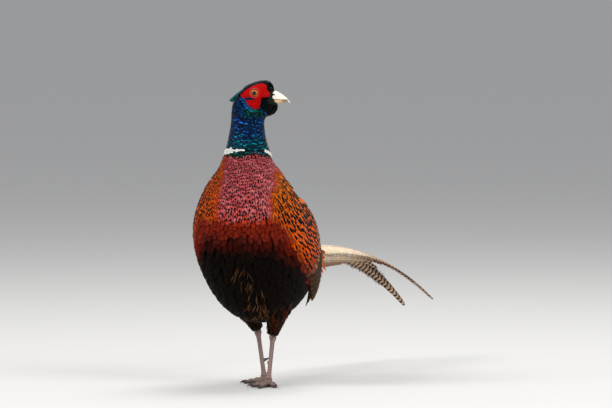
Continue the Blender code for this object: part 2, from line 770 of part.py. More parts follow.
def tarsus_path(side):
    leg = LEGS[side]
    top, end, hock, foot = (point(*leg[key]) for key in ("thigh", "thigh_end", "hock", "foot"))
    down = (end - top) / np.linalg.norm(end - top)
    start = end + down * GAP
    return start, start + down * 1.5 * MM, hock, foot + np.array((0, 0, GAP))


SCUTES = 10


def tarsus(side, home):
    """The bare lower leg: a knobbed hock and a shank whose front scutes overlap downward as low steps."""
    start, second, hock, foot = tarsus_path(side)
    centres, sizes = [start, second], [5.4, 5.6]
    for t, r in ((0.0, 5.3), (0.07, 4.4)):
        centres.append(hock + (foot - hock) * t)
        sizes.append(r)
    for k in range(SCUTES):
        for edge, step in ((0.02, 0.0), (0.94, 0.55)):
            t = 0.12 + 0.80 * (k + edge) / SCUTES
            centres.append(hock + (foot - hock) * t)
            sizes.append(3.1 + 0.5 * abs(2 * t - 1) ** 3 + step)
    centres.append(foot - (foot - hock) * 0.04)
    sizes.append(4.4)
    centres.append(foot)
    sizes.append(4.6)
    rings = tube_rings(centres, [(s * MM * 0.9, s * MM * 1.08) for s in sizes], 9, upright=(0, 1, 0))
    rings[-1][:, 2] = foot[2]
    return loft(f"tarsus_{side}", rings, "leg_grey", home)


def spur(side, home):
    """The short spur on the back of the lower leg, trimmed to it."""
    _, _, hock, foot = tarsus_path(side)
    root = hock + (foot - hock) * 0.66
    inward = -1 if side == "left" else 1
    way = np.array((inward * 0.55, 0.8, 0.1))
    way /= np.linalg.norm(way)
    centres = []
    for s in (1.0, 5, 9, 13):
        lift = 0.012 * (s * MM / 0.012) ** 2
        centres.append(root + way * s * MM + np.array((0, 0, lift)) * 0.15)
    rings = tube_rings(centres, [2.9 * MM, 2.3 * MM, 1.5 * MM, 0.4 * MM], 8)
    made = loft(f"spur_{side}", rings, "claw", home)
    cutters = named_collection("cutters")
    shank = tube_rings(
        [hock, hock + (foot - hock) * 0.5, foot], [((3.9) * MM, (4.3) * MM)] * 3, 12, upright=(0, 1, 0)
    )
    loft("shank_cutter", shank, "leg_grey", cutters)
    apply_boolean(made, "DIFFERENCE", cutters)
    return made


def toe_path(side, turn, length, root_radius):
    """Points and radii along a toe, from the middle of the foot out to where its claw starts."""
    outward = 1 if side == "left" else -1
    angle = math.radians(turn)
    way = np.array((outward * math.sin(angle), -math.cos(angle), 0))
    base = point(*LEGS[side]["foot"])
    centres, sizes = [], []
    joints = 3 if length > 20 else 1
    for t in np.linspace(0, 1, 7 if length > 20 else 4):
        radius = (root_radius - 1.3 * t) * (1 + 0.13 * math.cos(2 * math.pi * joints * t))
        height = radius * 0.84 + (2.2 if turn > 90 else 1.0) * (1 - t) ** 2
        spot = base + way * (1.5 + length * t) * MM
        centres.append((spot[0], spot[1], height * MM))
        sizes.append(radius * MM)
    return np.array(centres), sizes, way


def foot(side, home):
    """The foot: a pad under the lower leg with three toes ahead and a short one behind, flat underneath."""
    base = point(*LEGS[side]["foot"])
    rings = []
    for up, size in ((0, 4.6), (2.5, 5.4), (6, 5.4), (10.5, 4.6)):
        turn = np.arange(12) * 2 * math.pi / 12
        ring = np.column_stack((np.sin(turn), np.cos(turn), np.zeros(12))) * size * MM
        rings.append(ring + (base[0], base[1], up * MM))
    body = loft(f"foot_{side}", rings, "leg_grey", home)
    toes = named_collection("toes")
    for name, turn, length, radius in TOES:
        centres, sizes, way = toe_path(side, turn, length, radius)
        rings = tube_rings(centres, sizes, 8, flat_bottom=True, square_to=way)
        loft(f"toe_{name}", rings, "leg_grey", toes)
    apply_boolean(body, "UNION", toes)
    return body


def claw(side, toe, home):
    """A claw, from the toe's end curving forward and down almost to the floor."""
    name, turn, length, radius = toe
    centres, sizes, way = toe_path(side, turn, length, radius)
    start, size = centres[-1] + way * GAP, sizes[-1]
    reach = CLAW[name] * MM
    path, radii = [], []
    for t in (0, 0.3, 0.6, 0.85, 1.0):
        lift = 1.3 * MM * math.sin(math.pi * t) - 0.9 * MM * t
        path.append(start + way * reach * t + np.array((0, 0, lift)))
        radii.append((size * 0.8 * (1 - 0.85 * t), size * 0.84 * (1 - 0.82 * t)))
    rings = tube_rings(path, radii, 8, flat_bottom=True, square_to=way)
    return loft(f"claw_{side}_{name}", rings, "claw", home)


def stand_at_origin(parts):
    """Moves the bird so that the origin is the middle of its bounding box, at floor level."""
    points = np.array([v.co for part in parts for v in part.data.vertices])
    low, high = points.min(0), points.max(0)
    move = Matrix.Translation((-(low[0] + high[0]) / 2, -(low[1] + high[1]) / 2, 0))
    stand = bpy.data.objects.new("pheasant_origin", None)
    bpy.context.scene.collection.objects.link(stand)
    stand.matrix_world = move
    for part in parts:
        part.parent = stand


def main():
    clear_scene()
    home = named_collection("pheasant")
    torso(home)
    upper, lower = bill(home)
    skull, surface = head(home)
    head_pieces = [upper, lower, skull]
    for label, side in (("left", 1), ("right", -1)):
        head_pieces.append(eye_ball(f"eye_{label}", side, EYE_RADIUS * MM, home))
        head_pieces.append(wattle(f"wattle_{label}", side, surface, home))
        tuft = ear_tuft(f"ear_tuft_{label}", side, surface, home)
        cut_by_head(tuft, spline(HEAD_RIBS, HEAD_STEPS))
        head_pieces.append(tuft)
    for piece in head_pieces:
        place_head_piece(piece)
    neck(home)
    tail(home)
    for side in ("left", "right"):
        wing(side, home)
        thigh(side, home)
        tarsus(side, home)
        spur(side, home)
        foot(side, home)
        for toe in TOES:
            claw(side, toe, home)
    smooth = ("torso", "neck", "head", "bill_upper", "bill_lower", "eye_left", "eye_right")
    for part in home.objects:
        if part.name in smooth:
            part.data.shade_smooth()
    stand_at_origin(list(home.objects))


main()
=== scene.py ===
"""The cock common pheasant as a life-size museum model: skin, feathers, face, bill, legs, studio and camera.

Everything is worked out in the bird's own frame, in millimetres: x to its left, "ahead" and "up". Each
surface is a grid of points from a short formula, and frame_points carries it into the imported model's frame.
"""

import math

import bpy
import numpy as np
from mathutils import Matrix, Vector


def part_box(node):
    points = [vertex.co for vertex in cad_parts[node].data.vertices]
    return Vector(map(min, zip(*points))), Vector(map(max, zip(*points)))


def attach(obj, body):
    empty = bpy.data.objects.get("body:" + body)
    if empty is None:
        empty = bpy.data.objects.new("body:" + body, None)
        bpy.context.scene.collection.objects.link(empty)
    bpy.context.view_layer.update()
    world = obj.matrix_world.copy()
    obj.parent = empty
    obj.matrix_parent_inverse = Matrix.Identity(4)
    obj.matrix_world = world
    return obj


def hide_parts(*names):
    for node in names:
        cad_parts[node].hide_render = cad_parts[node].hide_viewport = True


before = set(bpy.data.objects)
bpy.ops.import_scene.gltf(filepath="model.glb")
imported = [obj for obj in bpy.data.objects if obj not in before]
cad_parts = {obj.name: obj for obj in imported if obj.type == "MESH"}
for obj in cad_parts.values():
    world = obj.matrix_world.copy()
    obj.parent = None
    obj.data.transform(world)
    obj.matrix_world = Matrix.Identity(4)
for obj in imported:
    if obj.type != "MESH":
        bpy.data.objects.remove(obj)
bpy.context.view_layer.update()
MM = 0.001
RANDOM = np.random.default_rng(11)
SIGN = {"left": 1, "right": -1}

# Torso ribs: back (ahead, up), breast or belly (ahead, up), half width, shift of the widest place upward.
TORSO_RIBS = (
    (-147, 193, -141, 167, 17, 0.0),
    (-128, 206, -116, 148, 36, 0.0),
    (-96, 228, -82, 116, 57, 0.0),
    (-62, 252, -44, 95, 69, 0.0),
    (-30, 274, 0, 87, 77, 0.0),
    (-6, 292, 42, 100, 79.5, 0.0),
    (10, 306, 80, 138, 79.5, -0.08),
    (19, 315, 104, 184, 73, -0.2),
    (23, 321, 112, 230, 60, -0.16),
    (24.5, 325, 106, 270, 44, -0.05),
    (25, 328, 96, 298, 36.5, 0.0),
    (25, 331, 86, 318, 33, 0.0),
)
# Head ribs in the head's frame: crown, throat, half width, shift of the widest place towards the crown.
HEAD_RIBS = (
    (-34, -30, 12, -40, 21.5, 0.0),
    (-32.5, -17, 13.5, -35.5, 20, 0.1),
    (-26, -5, 17, -33, 19, 0.22),
    (-15, 6.5, 22, -31.5, 18.5, 0.28),
    (-3, 12.5, 27, -28.5, 16.8, 0.28),
    (8, 15.5, 30.5, -23.5, 11.6, 0.2),
    (17, 15.4, 31.5, -19, 7.6, 0.1),
    (23, 12.2, 31.5, -17, 5.4, 0.0),
    (26.3, 8, 31, -15.5, 3.2, 0.0),
)
HEAD_TURN = math.radians(101)
HEAD_AT = np.array((11.0, 50.0, 411.0))
HEAD_ROLL = 7 / 24  # how far round the neck's rings the crown lies, as a share of a turn
EYE_SIDE = 13.7
EYE_RADIUS = 6.4
LID_RADIUS = 5.2
# Bill sections: ahead, top, bottom, half width.
UPPER_BILL = (
    (13.5, 1.5, -9.9, 8.4), (18, 3.2, -9.6, 8.2), (22, 3.5, -9.4, 7.4), (28, 2.5, -9.4, 6.1),
    (34, -0.2, -9.8, 4.9), (40, -4.3, -10.7, 3.6), (45, -8.8, -12.2, 2.2), (48, -13.2, -14.6, 0.8),
)
LOWER_BILL = (
    (14.5, -10.35, -15.0, 7.2), (22, -9.85, -15.3, 6.3), (28, -9.85, -14.9, 5.3),
    (34, -10.25, -14.2, 4.1), (40, -11.15, -13.6, 2.7), (43, -12.0, -13.3, 1.1),
)
# Outline of the red face skin: degrees from ahead, going up, and reach from the eye's middle.
FACE_OUTLINE = (
    (0, 20.9), (15, 17.9), (36, 19.5), (52, 16.6), (84, 10.9), (112, 9.6), (150, 11.0), (174, 15.0),
    (190, 20.3), (200, 18.4), (216, 15.9), (238, 18.1), (262, 21.0), (275, 22.6), (288, 21.9), (297, 17.6),
    (309, 14.8), (327, 12.0), (345, 20.0), (360, 20.9),
)
# Each wing: droop in degrees, then the dome's height, middle and bend, and how far its coverts lift.
WRIST = np.array((70.0, 248.0))
WINGS = {"left": (38.0, 83.0, 104.0, 0.0027, (-2.5, 1.6)), "right": (45.0, 83.5, 80.0, 0.0020, (-3.3, 0.4))}
WING_RISE = -8
WING_CROSS_BEND = 0.0038
WING_TUCK = 0.0125
TAIL_LENGTH = 472
TAIL_START = (0, -142, 184)
TAIL_SWING = math.radians(10)
TAIL_RISE = math.radians(3)
TAIL_FALL = math.radians(27.2)
TAIL_ROUND = 24.0
TAIL_STEEP = math.radians(66)
TAIL_BARB = 0.35
# Each leg: top and end of the thigh, hock, foot.
LEGS = {
    "left": ((38, 8, 142), (20, -1, 74), (19, -4, 66), (20, 19, 10.5)),
    "right": ((-36, -2, 142), (-12.5, -29, 79), (-11.5, -32, 71), (-5.5, -41, 10.5)),
}
# Thigh sections: share of its length, half width, half depth.
THIGH_SIZES = (
    (0, 25, 34), (0.25, 24, 33), (0.5, 19, 26), (0.72, 14, 18), (0.88, 10.5, 12.5), (1.0, 8.3, 9.2),
)
# Toes: name, degrees outward from ahead, length, root radius, claw length.
TOES = (
    ("inner", -30, 30, 4.0, 9.5), ("middle", 0, 43, 4.4, 11), ("outer", 32, 34, 4.0, 9),
    ("hind", 172, 14, 3.4, 7),
)
SOLE_PAD = ((0, 4.2), (0.8, 5.0), (2.5, 5.4), (6, 5.3), (9, 4.8), (11.2, 4.5))
BILL_ROOT_AHEAD = 19.5
BILL_ROOT_TOP = 3.6
BILL_ROOT_FOOT = -15.2
PUPIL_RADIUS = 2.9
IRIS_RADIUS = 4.5
CORNEA_SWELL = 0.4
WART_HEIGHT = 0.55
SCUTE = 2.3
SHANK_SCUTES = 15
SCUTE_RISE = 0.42
# Spur: distances along it, and its radius there.
SPUR_ALONG = (0, 1, 5, 9, 12.2, 13)
SPUR_RADIUS = (3.0, 2.9, 2.3, 1.5, 0.7, 0.12)
SKIN_VOXEL = 2.2 * MM
FOOT_VOXEL = 0.45 * MM
CAMERA_TURN = math.radians(17)
CAMERA_RISE = math.radians(2.8)
CAMERA_AWAY = 9.0
CAMERA_AIM = (0.0658, 0.2535)  # to the view's right of the model's origin, and up
FRAME_WIDE = 0.857
ACROSS_VIEW = (0.956, -0.292)  # how far x and ahead carry a place sideways in the camera's view


def shade(red, green, blue):
    """A display colour from 0 to 255 as linear light: ((c + 0.055) / 1.055) ** 2.4 above the dark end."""
    c = np.array((red, green, blue), float) / 255
    return np.where(c <= 0.04045, c / 12.92, ((c + 0.055) / 1.055) ** 2.4)


PURPLE_COPPER = shade(196, 82, 88)
ROSE_SHEEN = shade(240, 132, 132)
ORANGE = shade(232, 92, 4)
GOLD = shade(252, 142, 14)
RUFOUS = shade(176, 48, 4)
CHESTNUT = shade(112, 22, 3)
MAROON = shade(62, 12, 5)
BELLY_BLACK = shade(12, 6, 4)
FEATHER_BLACK = shade(8, 6, 8)
NECK_BLUE = shade(26, 126, 222)
NECK_VIOLET = shade(48, 78, 216)
NECK_TEAL = shade(12, 172, 212)
NECK_GREEN = shade(8, 128, 104)
CROWN_TEAL = shade(30, 104, 124)
TUFT_GREEN = shade(8, 78, 62)
THROAT_BLACK = shade(6, 18, 18)
STREAK_BLUE = shade(14, 44, 78)
COLLAR_WHITE = shade(244, 243, 238)
BUFF = shade(214, 184, 140)
CREAM = shade(246, 234, 212)
SAND = shade(158, 104, 60)
WING_BROWN = shade(44, 28, 20)
WING_OLIVE = shade(60, 42, 24)
WING_BAR = shade(108, 80, 52)
RUMP_ORANGE = shade(214, 108, 34)
GREEN_GREY = shade(98, 100, 74)
THIGH_BROWN = shade(58, 38, 26)
TAIL_BUFF = shade(232, 206, 166)
TAIL_FRINGE = shade(124, 80, 56)
TAIL_SHADE = shade(202, 162, 124)
TAIL_BAR = shade(26, 18, 14)
DOWN_GREY = shade(58, 50, 46)
FACE_RED = shade(216, 6, 3)
FACE_HOLLOW_SHADE = shade(104, 0, 4)
WART_GAP_SHADE = shade(92, 0, 8)
FACE_MOTTLE = shade(96, 0, 6)
LID_EDGE = shade(196, 160, 150)
PUPIL = shade(6, 5, 6)
IRIS = shade(196, 96, 8)
IRIS_GLOW = shade(226, 148, 30)
EYE_RIM = shade(52, 22, 10)
BILL_IVORY = shade(244, 238, 222)
BILL_ROOT = shade(214, 196, 160)
BILL_WARM = shade(226, 176, 126)
BILL_HOOK_SHADOW = shade(98, 66, 40)
BILL_RIDGE_HIGHLIGHT = shade(250, 246, 236)
BILL_UNDER = shade(228, 196, 150)
BILL_UNDER_TIP_SHADOW = shade(150, 112, 76)
NOSTRIL = shade(52, 30, 24)
LEG_GREY = shade(138, 114, 108)
LEG_DARK = shade(98, 80, 74)
LEG_PALE = shade(164, 136, 128)
TOE_DARK = shade(92, 76, 68)
TOE_GREY = shade(134, 114, 104)
SPUR_ROOT = shade(92, 80, 70)
SPUR_TIP = shade(48, 40, 36)
CLAW_ROOT = shade(88, 76, 68)
CLAW_TIP = shade(34, 28, 26)


def turns(count):
    """Equal angles round a full turn."""
    return np.arange(count) * 2 * math.pi / count


def step(value, low, high):
    """0 below low, 1 above high, and the smooth cubic 3t^2 - 2t^3 between them."""
    t = np.clip((np.asarray(value, float) - low) / (high - low), 0, 1)
    return t * t * (3 - 2 * t)


def bump(value, middle, width):
    """A bell of height 1: exp(-((value - middle) / width)^2)."""
    return np.exp(-(((value - middle) / width) ** 2))


def mix(first, second, share):
    """first * (1 - share) + second * share, with share as one number a row."""
    share = np.asarray(share)[..., None]
    return np.asarray(first) * (1 - share) + np.asarray(second) * share


def vary(count, spread):
    return 1 + spread * (RANDOM.random(count) * 2 - 1)


def unit(vectors):
    return vectors / np.maximum(np.linalg.norm(vectors, axis=-1, keepdims=True), 1e-9)


def ripple(points, size, seed=0.0):
    """A smooth wandering value from -1 to 1: sine products with unlike directions, size mm across."""
    x, y, z = np.moveaxis(points / size, -1, 0)
    a = np.sin(x * 1.7 + y * 0.9 + seed) * np.sin(z * 1.3 - y * 1.1 + seed * 2)
    b = np.sin(x * 2.9 - z * 2.3 + seed * 3) * np.sin(y * 3.1 + z * 1.9 - seed)
    return a * 0.65 + b * 0.35


def spline(rows, steps):
    """Catmull-Rom rows through the given ones, with this many steps from each to the next."""
    rows = np.asarray(rows, float)
    padded = np.vstack((2 * rows[0] - rows[1], rows, 2 * rows[-1] - rows[-2]))
    t = (np.arange(steps) / steps)[None, :, None]
    a, b, c, d = (padded[k : k + len(rows) - 1, None] for k in range(4))
    found = 0.5 * (2 * b + (c - a) * t + (2 * a - 5 * b + 4 * c - d) * t**2 + (3 * b - a - 3 * c + d) * t**3)
    return np.vstack((found.reshape(-1, rows.shape[1]), rows[-1]))


def rib_rings(ribs, sides):
    """Oval rings: middle + half * (cos a + widest * sin(a)^2) along the rib, and half width * sin a to the
    left."""
    back, front, wide, widest = ribs[:, 0:2], ribs[:, 2:4], ribs[:, 4:5], ribs[:, 5:6]
    a = turns(sides)
    along = (np.cos(a) + widest * np.sin(a) ** 2)[..., None]
    flat = ((back + front) / 2)[:, None] + ((back - front) / 2)[:, None] * along
    return np.concatenate(((np.sin(a) * wide)[..., None], flat), -1)


HEAD_WAYS = np.array((
    (math.cos(HEAD_TURN), -math.sin(HEAD_TURN), 0),
    (math.sin(HEAD_TURN), math.cos(HEAD_TURN), 0),
    (0, 0, 1),
))


def turn_head(points):
    """From the head's frame to the bird's: a turn to the left by HEAD_TURN, then a move to HEAD_AT."""
    return points @ HEAD_WAYS + HEAD_AT


def to_head(points):
    """From the bird's frame back to the head's."""
    return (points - HEAD_AT) @ HEAD_WAYS.T


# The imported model's origin, from the two eyes, whose middles lie either side of HEAD_AT.
EYE_BOXES = np.array([[list(corner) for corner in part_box(node)] for node in ("eye_left", "eye_right")])
SHIFT = EYE_BOXES.mean((0, 1)) - HEAD_AT * (MM, -MM, MM)


def frame_points(points):
    """Bird's millimetres (left, ahead, up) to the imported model's metres (left, back, up)."""
    return points * (MM, -MM, MM) + SHIFT


class Hide:
    """A closed body surface as rings of points. Places on it are v, counted in rings, and u, counted in
    points round a ring; any place between them is read off by bilinear mixing."""

    def __init__(self, rings):
        self.rings = rings
        self.rows, self.sides = rings.shape[:2]
        around = np.roll(rings, -1, 1) - np.roll(rings, 1, 1)
        onward = np.gradient(rings, axis=0)
        normals = unit(np.cross(onward, around))
        outward = np.sum(normals * (rings - rings.mean(1, keepdims=True)))
        self.normals = normals if outward > 0 else -normals
        self.row_mm = np.maximum(np.linalg.norm(onward, axis=-1), 0.05)
        self.side_mm = np.maximum(np.linalg.norm(around, axis=-1) / 2, 0.02)

    def read(self, table, v, u):
        """table[v, u] mixed from its four neighbours; past either end it goes on in a straight line."""
        i = np.clip(np.floor(v).astype(int), 0, self.rows - 2)
        j = np.floor(u).astype(int)
        fv, fu = v - i, u - j
        j0, j1 = j % self.sides, (j + 1) % self.sides
        if table.ndim == 3:
            fv, fu = fv[..., None], fu[..., None]
        low = table[i, j0] * (1 - fu) + table[i, j1] * fu
        high = table[i + 1, j0] * (1 - fu) + table[i + 1, j1] * fu
        return low * (1 - fv) + high * fv

    def roots(self, lines, low, high, ratio, least):
        """Roots in rows along equal shares of a turn. On each line the gap between roots is ratio times the
        distance between lines there, and every other line starts half a gap later, as scales do."""
        v = np.linspace(low, high, 500)
        found = []
        for line in range(lines):
            u = np.full_like(v, line * self.sides / lines)
            spacing = self.read(self.side_mm, v, u) * self.sides / lines
            gap = np.maximum(spacing * ratio, least)
            count = np.cumsum(self.read(self.row_mm, v, u) / gap) * (v[1] - v[0])
            wanted = np.arange(0.25 + 0.5 * (line % 2), count[-1], 1.0)
            place = np.interp(wanted, count, v)
            same = np.full_like(place, u[0])
            found.append(np.column_stack((place, same, np.interp(wanted, count, spacing))))
        return np.vstack(found)

    def lie(self, v, u, lean=0.0, sense=-1.0):
        """How feathers lie: from their roots along the surface, step by step, with v changing by sense times
        the distance over the local ring gap, and u by lean times the distance over the local point gap."""

        def place(reach, side):
            vs, us = [v], [u]
            for k in range(1, reach.shape[1]):
                move = reach[:, k] - reach[:, k - 1]
                vs.append(vs[-1] + sense * move / np.maximum(self.read(self.row_mm, vs[-1], us[-1]), 0.3))
                us.append(us[-1] + lean * move / np.maximum(self.read(self.side_mm, vs[-1], us[-1]), 0.2))
            vs, us = np.stack(vs, 1), np.stack(us, 1)
            us = us[:, :, None] + side / np.maximum(self.read(self.side_mm, vs, us), 0.2)[:, :, None]
            vs = np.broadcast_to(vs[:, :, None], us.shape)
            return self.read(self.rings, vs, us), unit(self.read(self.normals, vs, us))

        return place


# Share of a feather's length, and share of its half width there.
CONTOUR = ((0, 0.3), (0.35, 0.72), (0.6, 0.98), (0.78, 1.0), (0.9, 0.84), (0.97, 0.55), (1.0, 0.25))
ROUND = ((0, 0.4), (0.45, 0.85), (0.72, 1.0), (0.88, 0.9), (0.96, 0.66), (1.0, 0.35))
SMALL = ((0, 0.4), (0.5, 0.95), (0.82, 0.92), (0.95, 0.62), (1.0, 0.25))
POINTED = ((0, 0.4), (0.3, 0.8), (0.55, 1.0), (0.8, 0.75), (0.93, 0.42), (1.0, 0.08))
BROAD = ((0, 0.3), (0.2, 0.7), (0.5, 0.95), (0.8, 1.0), (0.92, 0.86), (0.98, 0.55), (1.0, 0.25))
RAGGED = 0.05
NO_MARKS = (0.0, 0.0, 0.0)
# A feather's strip of the bake map, as shares of its column, or the size of its spot on the unwrapped skin.
STRIP_SIZE = (0.84, 0.96)
STRIP_START = (0.08, 0.02)
SPOT_SIZE = 0.003


def feather_grid(place, length, width, lifts, shape, across, cup, thick, rise):
    """Closed feathers, all at once. Along a feather t goes from 0 to 1 and c goes across from -1 to 1:
    point = place(length * t, width * share(t) * c) + normal * (root lift + (tip lift - root lift) * t^rise -
    cup * c^2), and one more line runs under the middle, thick below it. Near its tip each line across ends
    short by its own random share, up to RAGGED of the length."""
    t, share = np.array(shape, float).T
    c = np.linspace(-1, 1, across)
    points, normals = place(length[:, None] * t, width[:, None, None] * share[:, None] * c)
    lift = (lifts[0][:, None] + (lifts[1] - lifts[0])[:, None] * t**rise)[..., None]
    lift = lift - cup[:, None, None] * c**2 * np.minimum(1, t * 2.5)[:, None]
    top = points + normals * lift[..., None]
    short = RAGGED * RANDOM.random((len(length), 1, across)) * step(t, 0.6, 1.0)[:, None]
    top = top - unit(np.gradient(top, axis=1)) * (length[:, None, None] * short)[..., None]
    middle = across // 2
    under = top[:, :, middle] - normals[:, :, middle] * (thick * (1.05 - 0.6 * t))[:, None]
    return np.concatenate((top, under[:, :, None]), axis=2), t, c


def own_places(t, c):
    """A feather's own map, a pair a point: c as 0 to 1, with the line under the middle at 0.5, and t."""
    return np.stack(np.broadcast_arrays((np.append(c, 0.0) + 1) / 2, t[:, None]), -1).reshape(-1, 2)


def lattice(rows, columns):
    """The row and column of every cell of a grid that closes on itself, and the column after it."""
    row, column = (x.ravel() for x in np.meshgrid(np.arange(rows), np.arange(columns), indexing="ij"))
    return row, column, (column + 1) % columns


def grid_faces(feathers, rows, ring):
    """Quads of closed strips: each row of ring points joins the next, and both ends are closed."""
    i, k, after = lattice(rows - 1, ring)
    sides = np.stack((i * ring + k, (i + 1) * ring + k, (i + 1) * ring + after, i * ring + after), 1)
    k = np.arange(ring // 2 - 1)
    cap = np.stack((k, k + 1, ring - 2 - k, ring - 1 - k), 1)
    caps = np.stack((cap, cap[:, ::-1] + (rows - 1) * ring), 1).reshape(-1, 4)
    one = np.vstack((sides, caps))
    return (np.arange(feathers)[:, None, None] * rows * ring + one).reshape(-1, 4)


def put_mesh(name, points, quads, triangles=()):
    """A smooth mesh object from arrays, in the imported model's frame, and its face corners' vertices."""
    mesh = bpy.data.meshes.new(name)
    corners = np.concatenate((np.ravel(quads), np.ravel(triangles))).astype(np.int32)
    sizes = np.repeat((4, 3), (len(quads), len(triangles)))
    mesh.vertices.add(len(points))
    mesh.vertices.foreach_set("co", frame_points(points).astype(np.float32).ravel())
    mesh.loops.add(len(corners))
    mesh.loops.foreach_set("vertex_index", corners)
    mesh.polygons.add(len(sizes))
    mesh.polygons.foreach_set("loop_start", (np.cumsum(sizes) - sizes).astype(np.int32))
    mesh.update(calc_edges=True)
    mesh.polygons.foreach_set("use_smooth", np.full(len(sizes), True))
    return put_object(name, mesh), corners


def put_object(name, data):
    made = bpy.data.objects.new(name, data)
    bpy.context.scene.collection.objects.link(made)
    return made


def put_uv(mesh, name, corners, values):
    """A UV map from one pair of numbers a vertex."""
    mesh.uv_layers.new(name=name).uv.foreach_set("vector", values.astype(np.float32)[corners].ravel())


def put_values(mesh, name, kind, values):
    """An attribute with one value a vertex. A colour gets an alpha of 1."""
    values = np.asarray(values, np.float32)
    if kind == "FLOAT_COLOR":
        values = np.column_stack((values, np.ones(len(values), np.float32)))
    field = {"FLOAT": "value", "FLOAT_VECTOR": "vector", "FLOAT_COLOR": "color"}[kind]
    mesh.attributes.new(name, kind, "POINT").data.foreach_set(field, values.ravel())


def inside_out(points, quads):
    """Whether a closed surface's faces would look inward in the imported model: the bird's frame is
    left-handed, so there a surface is right when its signed volume is below 0."""
    a, b, c, d = (points[quads[:, k]] for k in range(4))
    from_middle = a - points.mean(0)
    return np.sum(from_middle * (np.cross(b - a, c - a) + np.cross(c - a, d - a))) > 0


def finish_piece(made, slot, material, *replaced):
    made.data.materials.append(material)
    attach(made, "root")
    if replaced:
        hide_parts(*replaced)


def feather_piece(name, slot, material, place, length, width, lifts, shape, colours, bake, across=5, *, cup,
                  thick, rise=0.8, replaced=()):
    """One piece of many feathers. colours holds a feather's tone, ink and marks (size, slope and strength of
    its dark tip). bake is its root's place on the unwrapped skin, from 0 to 1, or None for one strip each."""
    count = len(length)
    width, low, high, cup = (np.broadcast_to(np.asarray(x, float), (count,)) for x in (width, *lifts, cup))
    ring, t, c = feather_grid(place, length, width, (low, high), shape, across, cup, thick, rise)
    rows, around = ring.shape[1:3]
    each = rows * around
    points = ring.reshape(-1, 3)
    quads = grid_faces(count, rows, around)
    if inside_out(points[:each], quads[: len(quads) // count]):
        quads = quads[:, ::-1]
    made, corners = put_mesh(name, points, quads)
    own = own_places(t, c)
    put_uv(made.data, "FeatherUV", corners, np.tile(own, (count, 1)))
    if bake is None:
        flat = (own * STRIP_SIZE + STRIP_START + np.arange(count)[:, None, None] * (1, 0)) / (count, 1)
    else:
        flat = bake[:, None] * 0.98 + 0.01 + (own - 0.5) * SPOT_SIZE
    put_uv(made.data, "OFBake", corners, flat.reshape(-1, 2))
    kinds = (("tone", "FLOAT_COLOR"), ("ink", "FLOAT_COLOR"), ("pattern", "FLOAT_VECTOR"))
    for (label, kind), values in zip(kinds, colours):
        put_values(made.data, label, kind, np.repeat(np.broadcast_to(values, (count, 3)), each, 0))
    put_values(made.data, "chance", "FLOAT", np.repeat(RANDOM.random(count), each))
    finish_piece(made, slot, material, *replaced)


def tube_rings(centres, wide, tall, sides, guide=(0, 0, 1)):
    """Oval rings square to a path: centre + up * tall * cos a + side * wide * sin a."""
    ways = unit(np.gradient(centres, axis=0))
    side = unit(np.cross(ways, guide))
    up = np.cross(side, ways)
    a = turns(sides)[None, :, None]
    over = np.cos(a) * (up * tall[:, None])[:, None]
    aside = np.sin(a) * (side * wide[:, None])[:, None]
    return centres[:, None] + over + aside


def loft(rings):
    """Points, quads and triangles of rings that close on themselves, with a fan to one point at each end."""
    rows, sides = rings.shape[:2]
    i, k, after = lattice(rows - 1, sides)
    quads = np.stack((i * sides + k, i * sides + after, (i + 1) * sides + after, (i + 1) * sides + k), 1)
    k = np.arange(sides)
    after = (k + 1) % sides
    last = (rows - 1) * sides
    low = np.stack((after, k, np.full(sides, rows * sides)), 1)
    high = np.stack((last + k, last + after, np.full(sides, rows * sides + 1)), 1)
    points = np.vstack((rings.reshape(-1, 3), rings[0].mean(0), rings[-1].mean(0)))
    return points, quads, np.vstack((low, high))


def closed_rings(name, rings, slot, material, tone, *replaced):
    """A closed piece over rings, with a tone a point."""
    points, quads, triangles = loft(rings)
    if inside_out(points, quads):
        quads, triangles = quads[:, ::-1], triangles[:, ::-1]
    made, _ = put_mesh(name, points, quads, triangles)
    tone = np.broadcast_to(tone, rings.shape)
    put_values(made.data, "tone", "FLOAT_COLOR", np.vstack((tone.reshape(-1, 3), tone[0, :1], tone[-1, :1])))
    finish_piece(made, slot, material, *replaced)


def joined_rings(name, lofts, voxel, slot, material, paint, *replaced):
    """Lofts made into one closed skin by a voxel remesh, clear of the floor. paint gives a place's tone."""
    points, quads, triangles, start = [], [], [], 0
    for rings in lofts:
        p, q, k = loft(rings)
        points.append(p)
        quads.append(q + start)
        triangles.append(k + start)
        start += len(p)
    rough, _ = put_mesh(name + "_rough", np.vstack(points), np.vstack(quads), np.vstack(triangles))
    remesh = rough.modifiers.new("join", "REMESH")
    remesh.mode = "VOXEL"
    remesh.voxel_size = voxel
    remesh.use_smooth_shade = True
    mesh = bpy.data.meshes.new_from_object(rough.evaluated_get(bpy.context.evaluated_depsgraph_get()))
    bpy.data.objects.remove(rough)
    co = np.zeros(len(mesh.vertices) * 3, np.float32)
    mesh.vertices.foreach_get("co", co)
    co = co.reshape(-1, 3)
    co[:, 2] = np.maximum(co[:, 2], 0.0)
    mesh.vertices.foreach_set("co", co.ravel())
    mesh.update()
    put_values(mesh, "tone", "FLOAT_COLOR", paint((co - SHIFT) / (MM, -MM, MM)))
    mesh.materials.clear()
    finish_piece(put_object(name, mesh), slot, material, *replaced)


# Materials


